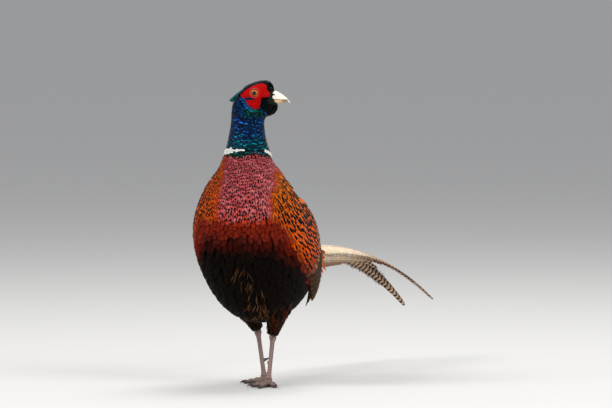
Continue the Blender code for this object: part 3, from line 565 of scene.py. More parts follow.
class Wire:
    """A value or colour in a shader's node tree. Sums, differences and products add Math nodes to it."""

    def __init__(self, socket):
        self.socket = socket
        self.tree = socket.id_data

    def math(self, operation, *others):
        return Wire(add_node(self.tree, "ShaderNodeMath", (self, *others), operation=operation).outputs[0])

    def __add__(self, other):
        return self.math("ADD", other)

    def __sub__(self, other):
        return self.math("SUBTRACT", other)

    def __mul__(self, other):
        return self.math("MULTIPLY", other)

    def ramp(self, low, high, start=0.0, end=1.0):
        """start below low, end above high, and a smooth cubic between them."""
        values = (self, low, high, start, end)
        node = add_node(self.tree, "ShaderNodeMapRange", values, interpolation_type="SMOOTHSTEP")
        return Wire(node.outputs[0])

    def blend(self, share, second, kind="MIX"):
        """This colour with the second one over it by share."""
        node = add_node(self.tree, "ShaderNodeMix", (share,), data_type="RGBA", blend_type=kind)
        feed(node.inputs[6], self)
        feed(node.inputs[7], second)
        return Wire(node.outputs[2])

    def noise(self, scale, detail):
        node = add_node(self.tree, "ShaderNodeTexNoise", (self,))
        node.inputs["Scale"].default_value = scale
        node.inputs["Detail"].default_value = detail
        return Wire(node.outputs["Fac"])

    def split(self):
        return [Wire(socket) for socket in add_node(self.tree, "ShaderNodeSeparateXYZ", (self,)).outputs]


def feed(socket, value):
    """A wire is linked to the socket, and a number or a colour is set on it."""
    if isinstance(value, Wire):
        socket.id_data.links.new(value.socket, socket)
    else:
        socket.default_value = (*value, 1) if np.ndim(value) else value


def add_node(tree, kind, values=(), **settings):
    node = tree.nodes.new(kind)
    for key, value in settings.items():
        setattr(node, key, value)
    for socket, value in zip(node.inputs, values):
        feed(socket, value)
    return node


def object_place(tree):
    return Wire(add_node(tree, "ShaderNodeTexCoord").outputs["Object"])


def attribute(tree, name, output):
    return Wire(add_node(tree, "ShaderNodeAttribute", attribute_name=name).outputs[output])


def feather_place(tree):
    """How far a place is from a feather's quill, 0 to 1, and how far along it, 0 to 1."""
    across, along, _ = Wire(add_node(tree, "ShaderNodeUVMap", uv_map="FeatherUV").outputs[0]).split()
    return across.math("MULTIPLY_ADD", 2.0, -1.0).math("ABSOLUTE"), along


def feather_group():
    """Colour and relief of one feather from its own UV. With c across (0 to 1) and t along (0 to 1):
    dark tip = t - (1 - size) - c * slope * size above 0; pale bars = sin(62 t + 5 c + chance); quill = c
    near 0; the hidden root fades to grey down."""
    group = bpy.data.node_groups.new("feather_look", "ShaderNodeTree")
    inputs = (("Color", "Tone"), ("Color", "Ink"), ("Vector", "Pattern"), ("Float", "Chance"),
              ("Float", "Bars"), ("Float", "Vary"), ("Color", "Down"))
    for kind, label in inputs:
        group.interface.new_socket(label, in_out="INPUT", socket_type="NodeSocket" + kind)
    for kind, label in (("Color", "Color"), ("Float", "Height")):
        group.interface.new_socket(label, in_out="OUTPUT", socket_type="NodeSocket" + kind)
    result = group.nodes.new("NodeGroupOutput")
    tone, ink, pattern, chance, bar_share, spread, down = (
        Wire(socket) for socket in group.nodes.new("NodeGroupInput").outputs[: len(inputs)])
    c, t = feather_place(group)
    wander = object_place(group).noise(420.0, 3.0)
    fine = object_place(group).noise(1500.0, 2.0)
    size, slope, strength = pattern.split()
    edge = t + wander.math("MULTIPLY_ADD", 0.16, -0.08) + size - 1.0 - c * slope * size
    tip = edge.ramp(-0.015, 0.035) * strength
    barbs = (t * 150.0 - c * 48.0).math("SINE")
    bars = (t * 62.0 + chance * 6.28 + c * 5.0 + wander * 4.0).math("SINE").ramp(0.0, 0.9) * bar_share
    tone = tone.blend(1.0, (chance - 0.5) * spread + 1.0 + fine.math("MULTIPLY_ADD", 0.4, -0.2), "MULTIPLY")
    tone = tone.blend(barbs.ramp(-0.2, 1.0) * 0.10, (0.01, 0.008, 0.006))
    tone = tone.blend(bars, ink).blend(tip, ink)
    feed(result.inputs["Color"], tone.blend(t.ramp(0.12, 0.45, 0.8, 0.0), down))
    feed(result.inputs["Height"], barbs * 0.5 + c.ramp(0.0, 0.16, 1.0, 0.0) * 1.2)
    return group


def surface(name, look, relief, depth, specular, **settings):
    """A material: look(tree) gives its colour and height, and settings name the shader's other inputs."""
    made = bpy.data.materials.new(name)
    made.use_nodes = True
    tree = made.node_tree
    shader = tree.nodes["Principled BSDF"]
    colour, height = look(tree)
    bumps = add_node(tree, "ShaderNodeBump")
    bumps.inputs["Strength"].default_value = relief
    bumps.inputs["Distance"].default_value = depth
    feed(bumps.inputs["Height"], height)
    feed(shader.inputs["Normal"], Wire(bumps.outputs[0]))
    feed(shader.inputs["Base Color"], colour)
    shader.inputs["Specular IOR Level"].default_value = specular
    for key, value in settings.items():
        shader.inputs[key.replace("_", " ").title()].default_value = value
    return made


FEATHER_LOOK = feather_group()


def plumage(name, roughness, metallic=0.0, bars=0.0, specular=0.1, spread=0.3, down=DOWN_GREY):
    """A feather material on the shared feather look."""

    def look(tree):
        node = add_node(tree, "ShaderNodeGroup", node_tree=FEATHER_LOOK)
        for label, output in (("tone", "Color"), ("ink", "Color"), ("pattern", "Vector"), ("chance", "Fac")):
            feed(node.inputs[label.capitalize()], attribute(tree, label, output))
        for label, value in (("Bars", bars), ("Vary", spread), ("Down", down)):
            feed(node.inputs[label], value)
        return Wire(node.outputs["Color"]), Wire(node.outputs["Height"])

    return surface(name, look, 0.6, 0.00008, specular, roughness=roughness, metallic=metallic)


def toned(name, roughness, scale, depth, spread=0.25, specular=0.3, **settings):
    """A plain surface whose colour comes from its own tone attribute, broken up by noise of this scale."""

    def look(tree):
        place = object_place(tree)
        mottle = place.noise(scale, 4.0).math("MULTIPLY_ADD", spread * 2, 1 - spread)
        return attribute(tree, "tone", "Color").blend(1.0, mottle, "MULTIPLY"), place.noise(scale * 3, 3.0)

    return surface(name, look, 0.7, depth, specular, roughness=roughness, coat_roughness=0.15,
                   subsurface_scale=0.002, **settings)


BREAST_PLUMAGE = plumage("breast_plumage", 0.5, 0.15, specular=0.08, spread=0.26)
BACK_PLUMAGE = plumage("back_plumage", 0.55)
NECK_PLUMAGE = plumage("neck_plumage", 0.36, 0.7, spread=0.6, down=FEATHER_BLACK)
COLLAR_PLUMAGE = plumage("collar_plumage", 0.6, spread=0.08)
BELLY_PLUMAGE = plumage("belly_plumage", 0.66, specular=0.03, spread=0.2, down=BELLY_BLACK)
WING_PLUMAGE = plumage("wing_plumage", 0.62, bars=0.3, specular=0.03)
SHADED_SKIN = toned("feathered_skin", 0.8, 300.0, 0.0002)
FACE_SKIN = toned("face_skin", 0.6, 900.0, 0.0003, 0.35, 0.05)
BILL_HORN = toned("bill_horn", 0.38, 160.0, 0.00006, 0.12, coat_weight=0.15, subsurface_weight=0.08)
LEG_SCALE = toned("leg_scale", 0.55, 500.0, 0.00015, 0.3)
CLAW_HORN = toned("claw_horn", 0.35, 400.0, 0.00005, 0.3, coat_weight=0.2)
EYE_GLASS = toned("eye_gloss", 0.12, 900.0, 0.00001, 0.2, 0.2, coat_weight=0.4)


# The body's surface, from behind the tail's root to the bill

SIDES = 96


def tail_frame(along):
    """The tail's middle line: its heading falls evenly, rise - bend * along, so the line is an arc. Returns
    its points, ways along, ways to the left and ways up across it."""
    bend = (TAIL_RISE + TAIL_FALL) / TAIL_LENGTH
    heading = (TAIL_RISE - bend * along)[..., None]
    back = np.array((math.sin(TAIL_SWING), -math.cos(TAIL_SWING), 0))
    left = np.array((math.cos(TAIL_SWING), math.sin(TAIL_SWING), 0))
    rise = np.array((0, 0, 1))
    flat = (math.sin(TAIL_RISE) - np.sin(heading)) / bend
    climb = (np.cos(heading) - math.cos(TAIL_RISE)) / bend
    way = back * np.cos(heading) + rise * np.sin(heading)
    up = rise * np.cos(heading) - back * np.sin(heading)
    return TAIL_START + back * flat + rise * climb, way, left, up


def body_rings():
    """Rings of the whole body: over the tail's root, the torso's ribs, the neck as a cubic from the torso's
    top ring to the head's first ring, and the head's ribs, turned to the left. With them, the first rows of
    the torso, the neck and the head."""
    a = turns(SIDES)[None, :, None]
    spot, _, left, up = tail_frame(np.array((60.0, 46, 33, 20, 9)))
    wide = np.array((9.0, 13, 16.5, 19, 19))[:, None, None]
    tall = np.array((5.0, 8, 10.5, 12, 12.8))[:, None, None]
    over_tail = (spot - up * 12.5)[:, None] + np.cos(a) * up[:, None] * tall + np.sin(a) * left * wide
    torso = rib_rings(spline(TORSO_RIBS, 7), SIDES)
    head = turn_head(rib_rings(spline(HEAD_RIBS, 7), SIDES))
    head = np.roll(head, -round(HEAD_ROLL * SIDES), axis=1)
    low, high = torso[-1], head[0]
    reach = high.mean(0) - low.mean(0)
    lean = reach + unit(low.mean(0) - low) * 16
    t = np.linspace(0, 1, 22)[1:-1, None, None]
    neck = (low * (2 * t**3 - 3 * t**2 + 1) + high * (3 * t**2 - 2 * t**3)
            + lean * (t**3 - 2 * t**2 + t) + reach * (t**3 - t**2))
    first = len(over_tail)
    neck_first = first + len(torso) - 1
    return np.concatenate((over_tail, torso, neck, head)), first, neck_first, neck_first + len(neck) + 1


RINGS, TORSO_START, NECK_START, HEAD_START = body_rings()
BODY = Hide(RINGS)
LAST_ROW = len(RINGS) - 1


def coat_depth(v):
    """How far the skin lies under the feathers' outline: 5 mm on the torso, 3 on the neck, 1 at the face."""
    rows = (0, TORSO_START, TORSO_START + 12, NECK_START - 6, NECK_START + 6, HEAD_START, LAST_ROW)
    return np.interp(v, rows, (2.5, 3.5, 5.5, 5.0, 3.2, 2.2, 1.0))


def make_skin():
    """One closed skin for torso, neck, head and thighs, each a loft, joined by a voxel remesh."""
    depth = coat_depth(np.arange(TORSO_START, LAST_ROW + 1.0))[:, None, None]
    rings = BODY.rings[TORSO_START:] - BODY.normals[TORSO_START:] * depth
    thighs = [thigh_rings(side, 24, 32, 2.2) for side in SIGN]
    # The skin's tone is the plumage colour at half strength: painted shade for the gaps between feathers.
    joined_rings("skin", [rings, *thighs], SKIN_VOXEL, "chestnut", SHADED_SKIN,
                 lambda place: body_colours(place)[0] * 0.5,
                 "torso", "neck", "head", "thigh_left", "thigh_right")


def put_marks(marks, share, size, slope, strength, join=np.add):
    """Dark-tip marks (size, slope, strength) under others by share. Two strengths are added, or the larger
    is kept."""
    new = mix(marks, np.stack(np.broadcast_arrays(size, slope, strength), -1), share)
    new[..., 2] = join(marks[..., 2] * (1 - share), share * strength)
    return new


# Where the orange flank begins, as (up, distance round from the middle of the breast).
FLANK_EDGE = ((120, 137, 155, 172, 189, 207, 224, 238), (70, 67, 63, 56, 49, 45, 36, 20))
# Half width of the purple breast patch, as (up, half width), and where its middle lies.
PATCH_EDGE = ((212, 224, 242, 259, 286, 308), (14, 26, 36, 37, 34, 32))
PATCH_MIDDLE = 10
# The white collar by degrees round from the back over the left: its middle's height, and its half width.
COLLAR_MIDDLE = ((0, 72, 106, 150, 180, 226, 270, 360), (324, 325.5, 330.5, 332, 332, 330.5, 328, 324))
COLLAR_HALF = (
    (0, 60, 90, 106, 112, 160, 172, 200, 226, 360),
    (3.4, 2.8, 2.0, 1.0, -2, -2, 0.2, 1.2, 3.4, 3.4),
)
NECK_FOOT = 322


def body_colours(p):
    """Tone and dark-tip marks (size, slope, strength) at places on the body, in smooth regions that follow
    height, distance ahead and distance from the middle, each blurred by ripples."""
    x, ahead, up = p[..., 0], p[..., 1], p[..., 2]
    side = np.abs(x)
    wander = ripple(p, 14.0)
    # Front: black-brown belly with chestnut above it.
    turned = ACROSS_VIEW[0] * side + ACROSS_VIEW[1] * ahead
    rim = up + np.where(x > 0, 20 * step(turned, 10, 50), 40 * step(turned, 20, 60)) + wander * 7
    tone = mix(BELLY_BLACK, MAROON, step(rim, 184, 206))
    tone = mix(tone, CHESTNUT, step(rim, 200, 222))
    tone = mix(tone, RUFOUS, step(ripple(p, 5.0, 7.0), 0.35, 0.75) * step(rim, 204, 222) * 0.55)
    marks = np.stack(np.broadcast_arrays(0.1, 0.8, 0.12 * step(up, 190, 225)), -1)
    # Flanks: orange with long black marks, down the sides.
    inner = np.interp(up, *FLANK_EDGE)
    flank = np.maximum(step(turned + wander * 4, inner, inner + 9), step(up + wander * 6, 230, 244))
    flank = flank * step(up + wander * 6, 118, 150)
    flank = np.maximum(flank, step(-ahead, 10, 40) * step(up, 165, 190) * step(side, 26, 46))
    warm = mix(RUFOUS, ORANGE, step(up, 140, 205))
    warm = mix(warm, mix(RUMP_ORANGE, MAROON, 0.45 + 0.25 * wander), step(-ahead, 44, 74))
    # Gold over the upper flanks: a little on both sides as the bird's own colour, and much more on the left
    # as painted light.
    warm = mix(warm, GOLD, step(up, 215, 280) * (0.08 + 0.42 * step(x, -20, 40)))
    # On the bird's right the flank turns redder, and chestnut lower down, darker than on the left: painted
    # shade on that side.
    warm = mix(warm, RUFOUS, step(-x, 0, 40) * step(up, 200, 240) * 0.2)
    warm = mix(warm, mix(CHESTNUT, RUFOUS, 0.3), step(-x, 25, 55) * step(210 - up, 0, 25) * 0.85)
    warm = mix(warm, CHESTNUT, step(x, 25, 50) * step(200 - up, 0, 60) * 0.75)
    tone = mix(tone, warm, flank)
    long_mark = step(235 - up, 0, 50)
    size = 0.43 + 0.08 * long_mark - 0.1 * step(-x, 10, 40)
    marks = put_marks(marks, flank, size, 1.15 + 0.75 * long_mark, 1 - 0.8 * step(-ahead, 44, 74), np.maximum)
    # Breast patch, which the turned neck draws a little to the left. Its rose patches are painted sheen, with
    # more of it on the bird's left.
    wide = np.interp(up, *PATCH_EDGE)
    patch = step(up + wander * 4, 225, 237) * step(ahead, 20, 44)
    patch = patch * (1 - step(np.abs(x - PATCH_MIDDLE) + wander * 3, wide - 8, wide + 12))
    rose = mix(PURPLE_COPPER, ROSE_SHEEN, step(ripple(p, 7.0, 2.0), -0.2, 0.9) * 0.6 + step(x, 14, 40) * 0.3)
    rose = mix(rose, RUFOUS, step(ripple(p, 8.0, 5.0), 0.1, 0.6) * 0.7 * step(300 - up, 0, 60))
    rose = mix(rose, RUFOUS, step(258 - up, 0, 40) * 0.6)
    tone = mix(tone, mix(RUFOUS, rose, step(patch, 0.35, 0.8)), step(patch, 0, 0.6))
    marks = put_marks(marks, patch, 0.26, 1.15, 1.0, np.maximum)
    # Back: golden mantle behind the neck, chestnut with buff on the saddle, coppery rump.
    top = step(-ahead, -34, -14) * step(up, 190, 215) * (1 - step(side, 52, 66))
    mantle = mix(ORANGE, GOLD, 0.4 + 0.3 * wander)
    saddle = mix(CHESTNUT, SAND, 0.35 + 0.35 * step(ripple(p, 6.0, 4.0), 0.0, 0.6))
    back = mix(mantle, saddle, step(-ahead, -2, 26))
    back = mix(back, mix(RUMP_ORANGE, GREEN_GREY, 0.35 + 0.3 * wander), step(-ahead, 60, 92))
    tone = mix(tone, back, top)
    slope = np.interp(-ahead, (-20, 20, 80), (1.1, 1.9, 2.6))
    marks = put_marks(marks, top, 0.42, slope, np.interp(-ahead, (-20, 30, 90), (1.0, 0.8, 0.35)))
    # Vent and under the tail's root.
    vent = step(-ahead, 84, 120) * (1 - step(up, 170, 190))
    tone = mix(tone, mix(THIGH_BROWN, RUFOUS, 0.3), vent)
    # Neck, collar and head. The neck's foot dips where the head's turn pulls it.
    neck = step(up + wander * 1.2 - 5 * bump(x, 18, 9) * (ahead > 50), NECK_FOOT - 0.5, NECK_FOOT + 2)
    return mix(tone, neck_colours(p), neck), put_marks(marks, neck, 0.3, 0.3, 0.95)


def neck_colours(p):
    """Teal-green low on the neck, royal blue and violet above, dark throat, teal crown, white collar."""
    x, ahead, up = p[..., 0], p[..., 1], p[..., 2]
    wander = ripple(p, 8.0, 1.0)
    low = mix(NECK_GREEN, NECK_TEAL, step(up + wander * 5, 322, 340))
    tone = mix(low, NECK_BLUE, step(up + wander * 8, 338, 358))
    violet = step(wander, -0.1, 0.7) * step(up, 345, 360) * (1 - step(up, 376, 390))
    tone = mix(tone, NECK_VIOLET, violet * 0.8)
    # On the head: green under the red skin, black-green throat and lores, teal crown, navy cheek.
    front, high = to_head(p)[..., 1], to_head(p)[..., 2]
    tone = mix(tone, mix(NECK_BLUE, FEATHER_BLACK, 0.45), step(up, 380, 392) * 0.8)
    green = step(18 - np.abs(front + 1), 0, 8) * step(-high, 20, 26) * (1 - step(-high, 32, 38))
    tone = mix(tone, NECK_GREEN, green * 0.9)
    tone = mix(tone, THROAT_BLACK, step(front + 0.25 * high, 4, 11) * step(up, 366, 378))
    # The crown's own teal, made brighter as a painted highlight on the top of the head.
    tone = mix(tone, CROWN_TEAL, step(high - front * 0.18, 2, 9) * (1 - step(front, 15, 20)))
    a = np.degrees(np.arctan2(x, -(ahead - 56))) % 360  # 0 at the back, 90 at the left, 180 in front
    half = np.interp(a, *COLLAR_HALF)
    away = np.abs(up - np.interp(a, *COLLAR_MIDDLE))
    return mix(tone, COLLAR_WHITE, 1 - step(away, half - 0.6, half + 0.8))


def bake_places(v, u):
    """Where roots lie on the unwrapped body: round a turn across, and from tail to bill upward."""
    return np.column_stack(((u / SIDES) % 1.0, np.clip(v / LAST_ROW, 0, 1)))


def coat(name, slot, material, roots, keep, length_ratio, width_ratio, shape, across, lift, cup=0.06,
         lean=0.08, thick=0.3, least=0.0, most=99.0, colour=body_colours, puff=None):
    """Feathers at these roots of the body: length and half width are ratios of the local spacing. keep picks
    roots by the place of the feather's visible part, and puff raises tips there."""
    v, u, spacing = roots.T
    count = len(v)
    u = u + RANDOM.normal(0, 0.10, count) * spacing / np.maximum(BODY.read(BODY.side_mm, v, u), 0.2)
    v = v + RANDOM.normal(0, 0.10, count) * spacing / np.maximum(BODY.read(BODY.row_mm, v, u), 0.2)
    length = np.clip(spacing * length_ratio, least, most) * vary(count, 0.12)
    tip, _ = BODY.lie(v, u)(np.column_stack((np.zeros(count), length * 0.82)), np.zeros((count, 2, 1)))
    seen = tip[:, 1, 0]
    chosen = keep(seen, v, u)
    v, u, spacing, length, seen = (x[chosen] for x in (v, u, spacing, length, seen))
    count = len(v)
    place = BODY.lie(v, u, RANDOM.normal(0, lean, count))
    tone, marks = colour(seen)
    width = spacing * width_ratio * vary(count, 0.1)
    raised = puff(seen) if puff else 0.0
    tip_lift = lift + raised + RANDOM.normal(0, 0.13, count) * np.minimum(spacing / 6, 1)
    feather_piece(name, slot, material, place, length, width, (-coat_depth(v) - 0.6, tip_lift), shape,
                  (tone, FEATHER_BLACK, marks), bake_places(v, u), across, cup=cup * spacing, thick=thick)


def make_body_coat():
    """Breast, belly and back, all from one set of roots, with every other line left out where the back
    narrows."""
    lines, belly_top = 60, 205
    roots = BODY.roots(lines, TORSO_START - 3.5, NECK_START + 7, 0.98, 2.5)

    def on_back(p):
        return (p[:, 1] < 12) & (p[:, 2] > 176 + 0.35 * (p[:, 1] + 60))

    def breast(p, v, u):
        return (p[:, 2] > belly_top) & ~on_back(p) & (p[:, 2] < NECK_FOOT + 1)

    def belly(p, v, u):
        return (p[:, 2] <= belly_top) & ~on_back(p)

    def back(p, v, u):
        return on_back(p) & (p[:, 2] < NECK_FOOT + 3)

    coat("coat_breast", "chestnut", BREAST_PLUMAGE, roots, breast, 3.5, 0.66, CONTOUR, 5, 0.5)
    coat("coat_belly", "chestnut", BELLY_PLUMAGE, roots, belly, 4.0, 0.66, CONTOUR, 5, 0.4, lean=0.1)
    sparse = roots[(roots[:, 2] > 3.0) | (np.round(roots[:, 1] * lines / SIDES) % 2 < 1)]
    sparse[:, 2] = np.maximum(sparse[:, 2], 3.6)
    coat("coat_back", "chestnut", BACK_PLUMAGE, sparse, back, 3.6, 0.66, CONTOUR, 5, 0.5, least=9.0)


def make_neck_coat():
    def white(p):
        return neck_colours(p).min(-1) > 0.25

    def neck(p, v, u):
        return (p[:, 2] >= NECK_FOOT) & (v < HEAD_START + 6) & ~white(p)

    def collar(p, v, u):
        return (p[:, 2] >= NECK_FOOT) & (v < HEAD_START) & white(p)

    def collar_colours(p):
        return COLLAR_WHITE, NO_MARKS

    roots = BODY.roots(42, NECK_START - 4, HEAD_START + 8, 0.74, 2.1)
    coat("coat_neck", "neck_blue", NECK_PLUMAGE, roots, neck, 2.6, 0.82, ROUND, 5, 0.3, least=7.5,
         lean=0.1, cup=0.045)
    roots = BODY.roots(60, NECK_START - 4, HEAD_START, 0.6, 1.6)
    coat("coat_collar", "neck_blue", COLLAR_PLUMAGE, roots, collar, 2.8, 0.8, ROUND, 5, 0.8, least=8.0,
         colour=collar_colours, cup=0.045)


def face_reach(degrees):
    """The red skin's outline between its named angles, as a closed Catmull-Rom curve."""
    rows = np.array(FACE_OUTLINE, float)
    smooth = spline(np.vstack((rows[-3:-1] - (360, 0), rows, rows[1:3] + (360, 0))), 12)
    return np.interp(degrees % 360, smooth[:, 0], smooth[:, 1])


def face_share(front, high):
    """How far out a place lies on the red face skin: 0 at the eye's middle, 1 at the skin's edge."""
    return np.hypot(front, high) / face_reach(np.degrees(np.arctan2(high, front)))


def make_head_coat():
    """Small feathers over the head, clear of the red skin and the bill, raised on the crown."""

    def head(p, v, u):
        root, q = to_head(BODY.read(BODY.rings, v, u)), to_head(p)
        on_face = (face_share(q[:, 1], q[:, 2]) < 0.97) | (face_share(root[:, 1], root[:, 2]) < 0.97)
        on_bill = (root[:, 1] > BILL_ROOT_AHEAD) & (root[:, 2] < BILL_ROOT_TOP)
        on_bill = on_bill & (root[:, 2] > BILL_ROOT_FOOT)
        return ~(on_face & (np.abs(q[:, 0]) > 3)) & ~on_bill

    def crown(p):
        q = to_head(p)
        return 1.9 * step(q[:, 2] - 0.18 * q[:, 1], 3, 10) * step(24 - q[:, 1], 0, 6)

    roots = BODY.roots(64, HEAD_START + 1, LAST_ROW - 0.2, 0.85, 1.25)
    coat("coat_head", "neck_blue", NECK_PLUMAGE, roots, head, 2.7, 0.8, SMALL, 3, 0.25, least=3.8, most=6.5,
         thick=0.18, lean=0.15, puff=crown)


# Wings


class WingDome:
    """The shallow dome that a folded wing's feathers lie on: out from the middle plane it is height - bend *
    (back - middle)^2 - cross * (rise - WING_RISE)^2, over places (back along the wing, rise across it). cross
    is WING_CROSS_BEND above WING_RISE and WING_TUCK below it, where the lower edge is tucked in."""

    def __init__(self, side):
        self.side = SIGN[side]
        droop, self.height, self.middle, self.bend, self.covert_lifts = WINGS[side]
        droop = math.radians(droop)
        self.along = np.array((-math.cos(droop), -math.sin(droop)))
        self.across = np.array((-math.sin(droop), math.cos(droop)))

    def at(self, place):
        """The dome's points at these places, and its normals."""
        back, rise = place[..., :1] - self.middle, place[..., 1:] - WING_RISE
        cross = np.where(rise > 0, WING_CROSS_BEND, WING_TUCK)
        out = self.side * (self.height - self.bend * back**2 - cross * rise**2)
        flat = WRIST + place[..., :1] * self.along + place[..., 1:] * self.across
        slope = 2 * self.bend * back * self.along + 2 * cross * rise * self.across
        side = np.full(back.shape, float(self.side))
        return np.concatenate((out, flat), -1), unit(np.concatenate((side, slope), -1))

    def lie(self, root, tip, bow=0.0):
        """Feathers straight from root to tip on the dome, with a sideways bow of bow * 4 s (1 - s)."""
        way = unit(tip - root)
        square = np.stack((-way[..., 1], way[..., 0]), -1)
        full = np.linalg.norm(tip - root, axis=-1)

        def place(reach, side):
            s = reach / full[:, None]
            flat = root[:, None] + way[:, None] * reach[..., None]
            side = side + (bow * 4 * s * (1 - s))[..., None]
            return self.at(flat[:, :, None] + square[:, None, None] * side[..., None])

        return place, full


def make_wing_tier(side, dome, label, count, roots, tips, half_width, lifts, tones, marks, layer, bow, jitter,
                   material):
    """A row of long wing feathers: roots and tips lie on two straight lines, and each feather lies layer
    higher than the last."""
    s = np.linspace(0, 1, count)
    root, tip = mix(*roots, s), mix(*tips, s)
    tip = tip + RANDOM.normal(0, 1, tip.shape) * jitter
    place, full = dome.lie(root, tip, bow)
    extra = -layer * (count - 1 - np.arange(count))
    tone = mix(tones[0], tones[1], RANDOM.random(count) * 0.6 + 0.2)
    feather_piece(f"wing_{side}_{label}", "wing_brown", material, place, full, half_width * vary(count, 0.05),
                  (lifts[0] + extra, lifts[1] + extra), BROAD, (tone, tones[2], marks), None, 7, cup=0.5,
                  thick=0.5, rise=0.6, replaced=(f"wing_{side}",) if label == "primaries" else ())


# The small coverts' lower and upper edges across the wing, by distance back along it.
COVERT_LOW = ((0, 20, 60, 90), (-22, -32, -36, -34))
COVERT_HIGH = ((0, 20, 60, 90), (30, 50, 62, 60))
COVERT_ROWS = np.arange(2, 88, 6.4)
COVERT_GAP = 8.0
COVERT_LENGTH = 25


def make_wing(side):
    """A folded wing: two tiers of flight feathers, greater coverts, and small coverts in staggered rows."""
    dome = WingDome(side)
    brown = (WING_BROWN, WING_OLIVE, WING_BAR)
    rusty = (mix(SAND, RUFOUS, 0.6), mix(RUFOUS, ORANGE, 0.5), WING_BROWN)
    make_wing_tier(side, dome, "primaries", 8, ((98, -20), (84, -8)), ((212, -17), (168, 2)), 8.5,
                   (-3.6, -2.4), brown, (0.04, 0.1, 0.7), 0.75, -4, 0, WING_PLUMAGE)
    make_wing_tier(side, dome, "secondaries", 13, ((62, -24), (58, 48)), ((184, -22), (148, 50)), 8.0,
                   (-3.4, 0.6), brown, (0.05, 0.1, 0.6), 0.14, -3, 1.5, WING_PLUMAGE)
    make_wing_tier(side, dome, "greater_coverts", 12, ((32, -26), (30, 50)), ((112, -28), (104, 54)), 7.4,
                   (-3.4, dome.covert_lifts[1]), rusty, (0.3, 1.4, 0.8), 0.08, 0, 2.2, BREAST_PLUMAGE)
    rows = []
    for k, back in enumerate(COVERT_ROWS):
        low = np.interp(back, *COVERT_LOW) + (k % 2) * COVERT_GAP / 2
        rise = np.arange(low, np.interp(back, *COVERT_HIGH), COVERT_GAP)
        rows.append(np.column_stack((np.full_like(rise, back), rise)))
    root = np.vstack(rows)
    count = len(root)
    root = root + RANDOM.normal(0, 0.8, root.shape)
    length = COVERT_LENGTH * vary(count, 0.12)
    way = unit(np.column_stack((np.ones(count), -0.10 + 0.06 * RANDOM.normal(0, 1, count)))) * length[:, None]
    place, full = dome.lie(root, root + way)
    tone, marks = body_colours(dome.at(root + way * 0.8)[0])
    covert = step(root[:, 0] + 0.2 * root[:, 1] + RANDOM.normal(0, 3, count), 74, 88)
    tone = mix(tone, mix(mix(SAND, CHESTNUT, 0.6), WING_BROWN, RANDOM.random(count)), covert)
    ink = mix(FEATHER_BLACK, mix(BUFF, SAND, 0.6), covert)
    feather_piece(f"wing_{side}_small_coverts", "wing_brown", BREAST_PLUMAGE, place, full, 6.0,
                  dome.covert_lifts, CONTOUR, (tone, ink, mix(marks, (0.55, 2.4, 0.6), covert)),
                  np.clip((root + (10, 40)) / (240, 110), 0, 1), 5, cup=0.5, thick=0.35)


def make_wing_pad(side):
    """The wing's own flesh under its feathers: an oval pad that follows the dome under it."""
    dome = WingDome(side)
    first, length, middle, half, depth = 4, 148, 12, 42, 9.5
    a = turns(48)
    t = np.linspace(0, 1, 20)[:, None]
    oval = np.sqrt(np.maximum(1 - (2 * t - 1) ** 4, 0.02))
    spots = np.broadcast_arrays(first + length * t, middle + half * oval * np.cos(a))
    points, normals = dome.at(np.stack(spots, -1))
    rings = points - normals * (depth - 5 * np.sin(a) * oval)[..., None]
    # Half the wing's brown: painted shade under the wing's feathers.
    closed_rings(f"wing_{side}_pad", rings, "wing_brown", SHADED_SKIN, WING_BROWN * 0.5)


# Tail


def gathered(along):
    """How far the tail's feathers have spread from their narrow root."""
    return 0.45 + 0.55 * np.minimum(1, along / 75)


def tail_roof(along, down, layer=0.0):
    """A place on the folded tail: the roof is round over the middle line, radius TAIL_ROUND, and goes
    straight down past TAIL_STEEP. down is the distance from the ridge, left positive; layer is the depth
    under it."""
    spot, _, left, up = tail_frame(along)
    side = np.where(down >= 0, 1.0, -1.0)
    arc = np.abs(down)
    turned = np.minimum(arc / TAIL_ROUND, TAIL_STEEP)
    straight = arc - turned * TAIL_ROUND
    out = np.sin(turned) * TAIL_ROUND + straight * math.cos(TAIL_STEEP)
    drop = (1 - np.cos(turned)) * TAIL_ROUND + straight * math.sin(TAIL_STEEP)
    normal = left * (side * np.sin(turned))[..., None] + up * np.cos(turned)[..., None]
    return spot + left * (side * out)[..., None] - up * drop[..., None] - normal * layer, normal


def tail_feathers():
    """Eighteen tail feathers in nested layers, the long middle pair on top. Each has its length, place from
    the ridge at the root, spread at the tip, half widths of the vane and of the tip, depth of its layer,
    start, rows of points, and least distance from the ridge."""
    rows = [(TAIL_LENGTH, 9, -3, 17.5, 1.6, 0.0, 16, 90, None), (446, -11, -25, 13, 1.3, 0.95, 16, 90, None),
            (400, 8, -2, 13, 1.5, 1.9, 15, 70, 1.2), (380, -11, -20, 12.5, 1.5, 1.9, 15, 70, 1.2)]
    for j, length in enumerate((312, 272, 238, 208, 180, 156, 134)):
        for side in (-1, 1):
            rows.append((length, side * (14 + 3.3 * j), side * 1.5, 11.6 - 0.35 * j, 1.5, 0.95 * (j + 3),
                         14 + 1.5 * j, 50, 2.0 + 0.25 * j))
    return rows


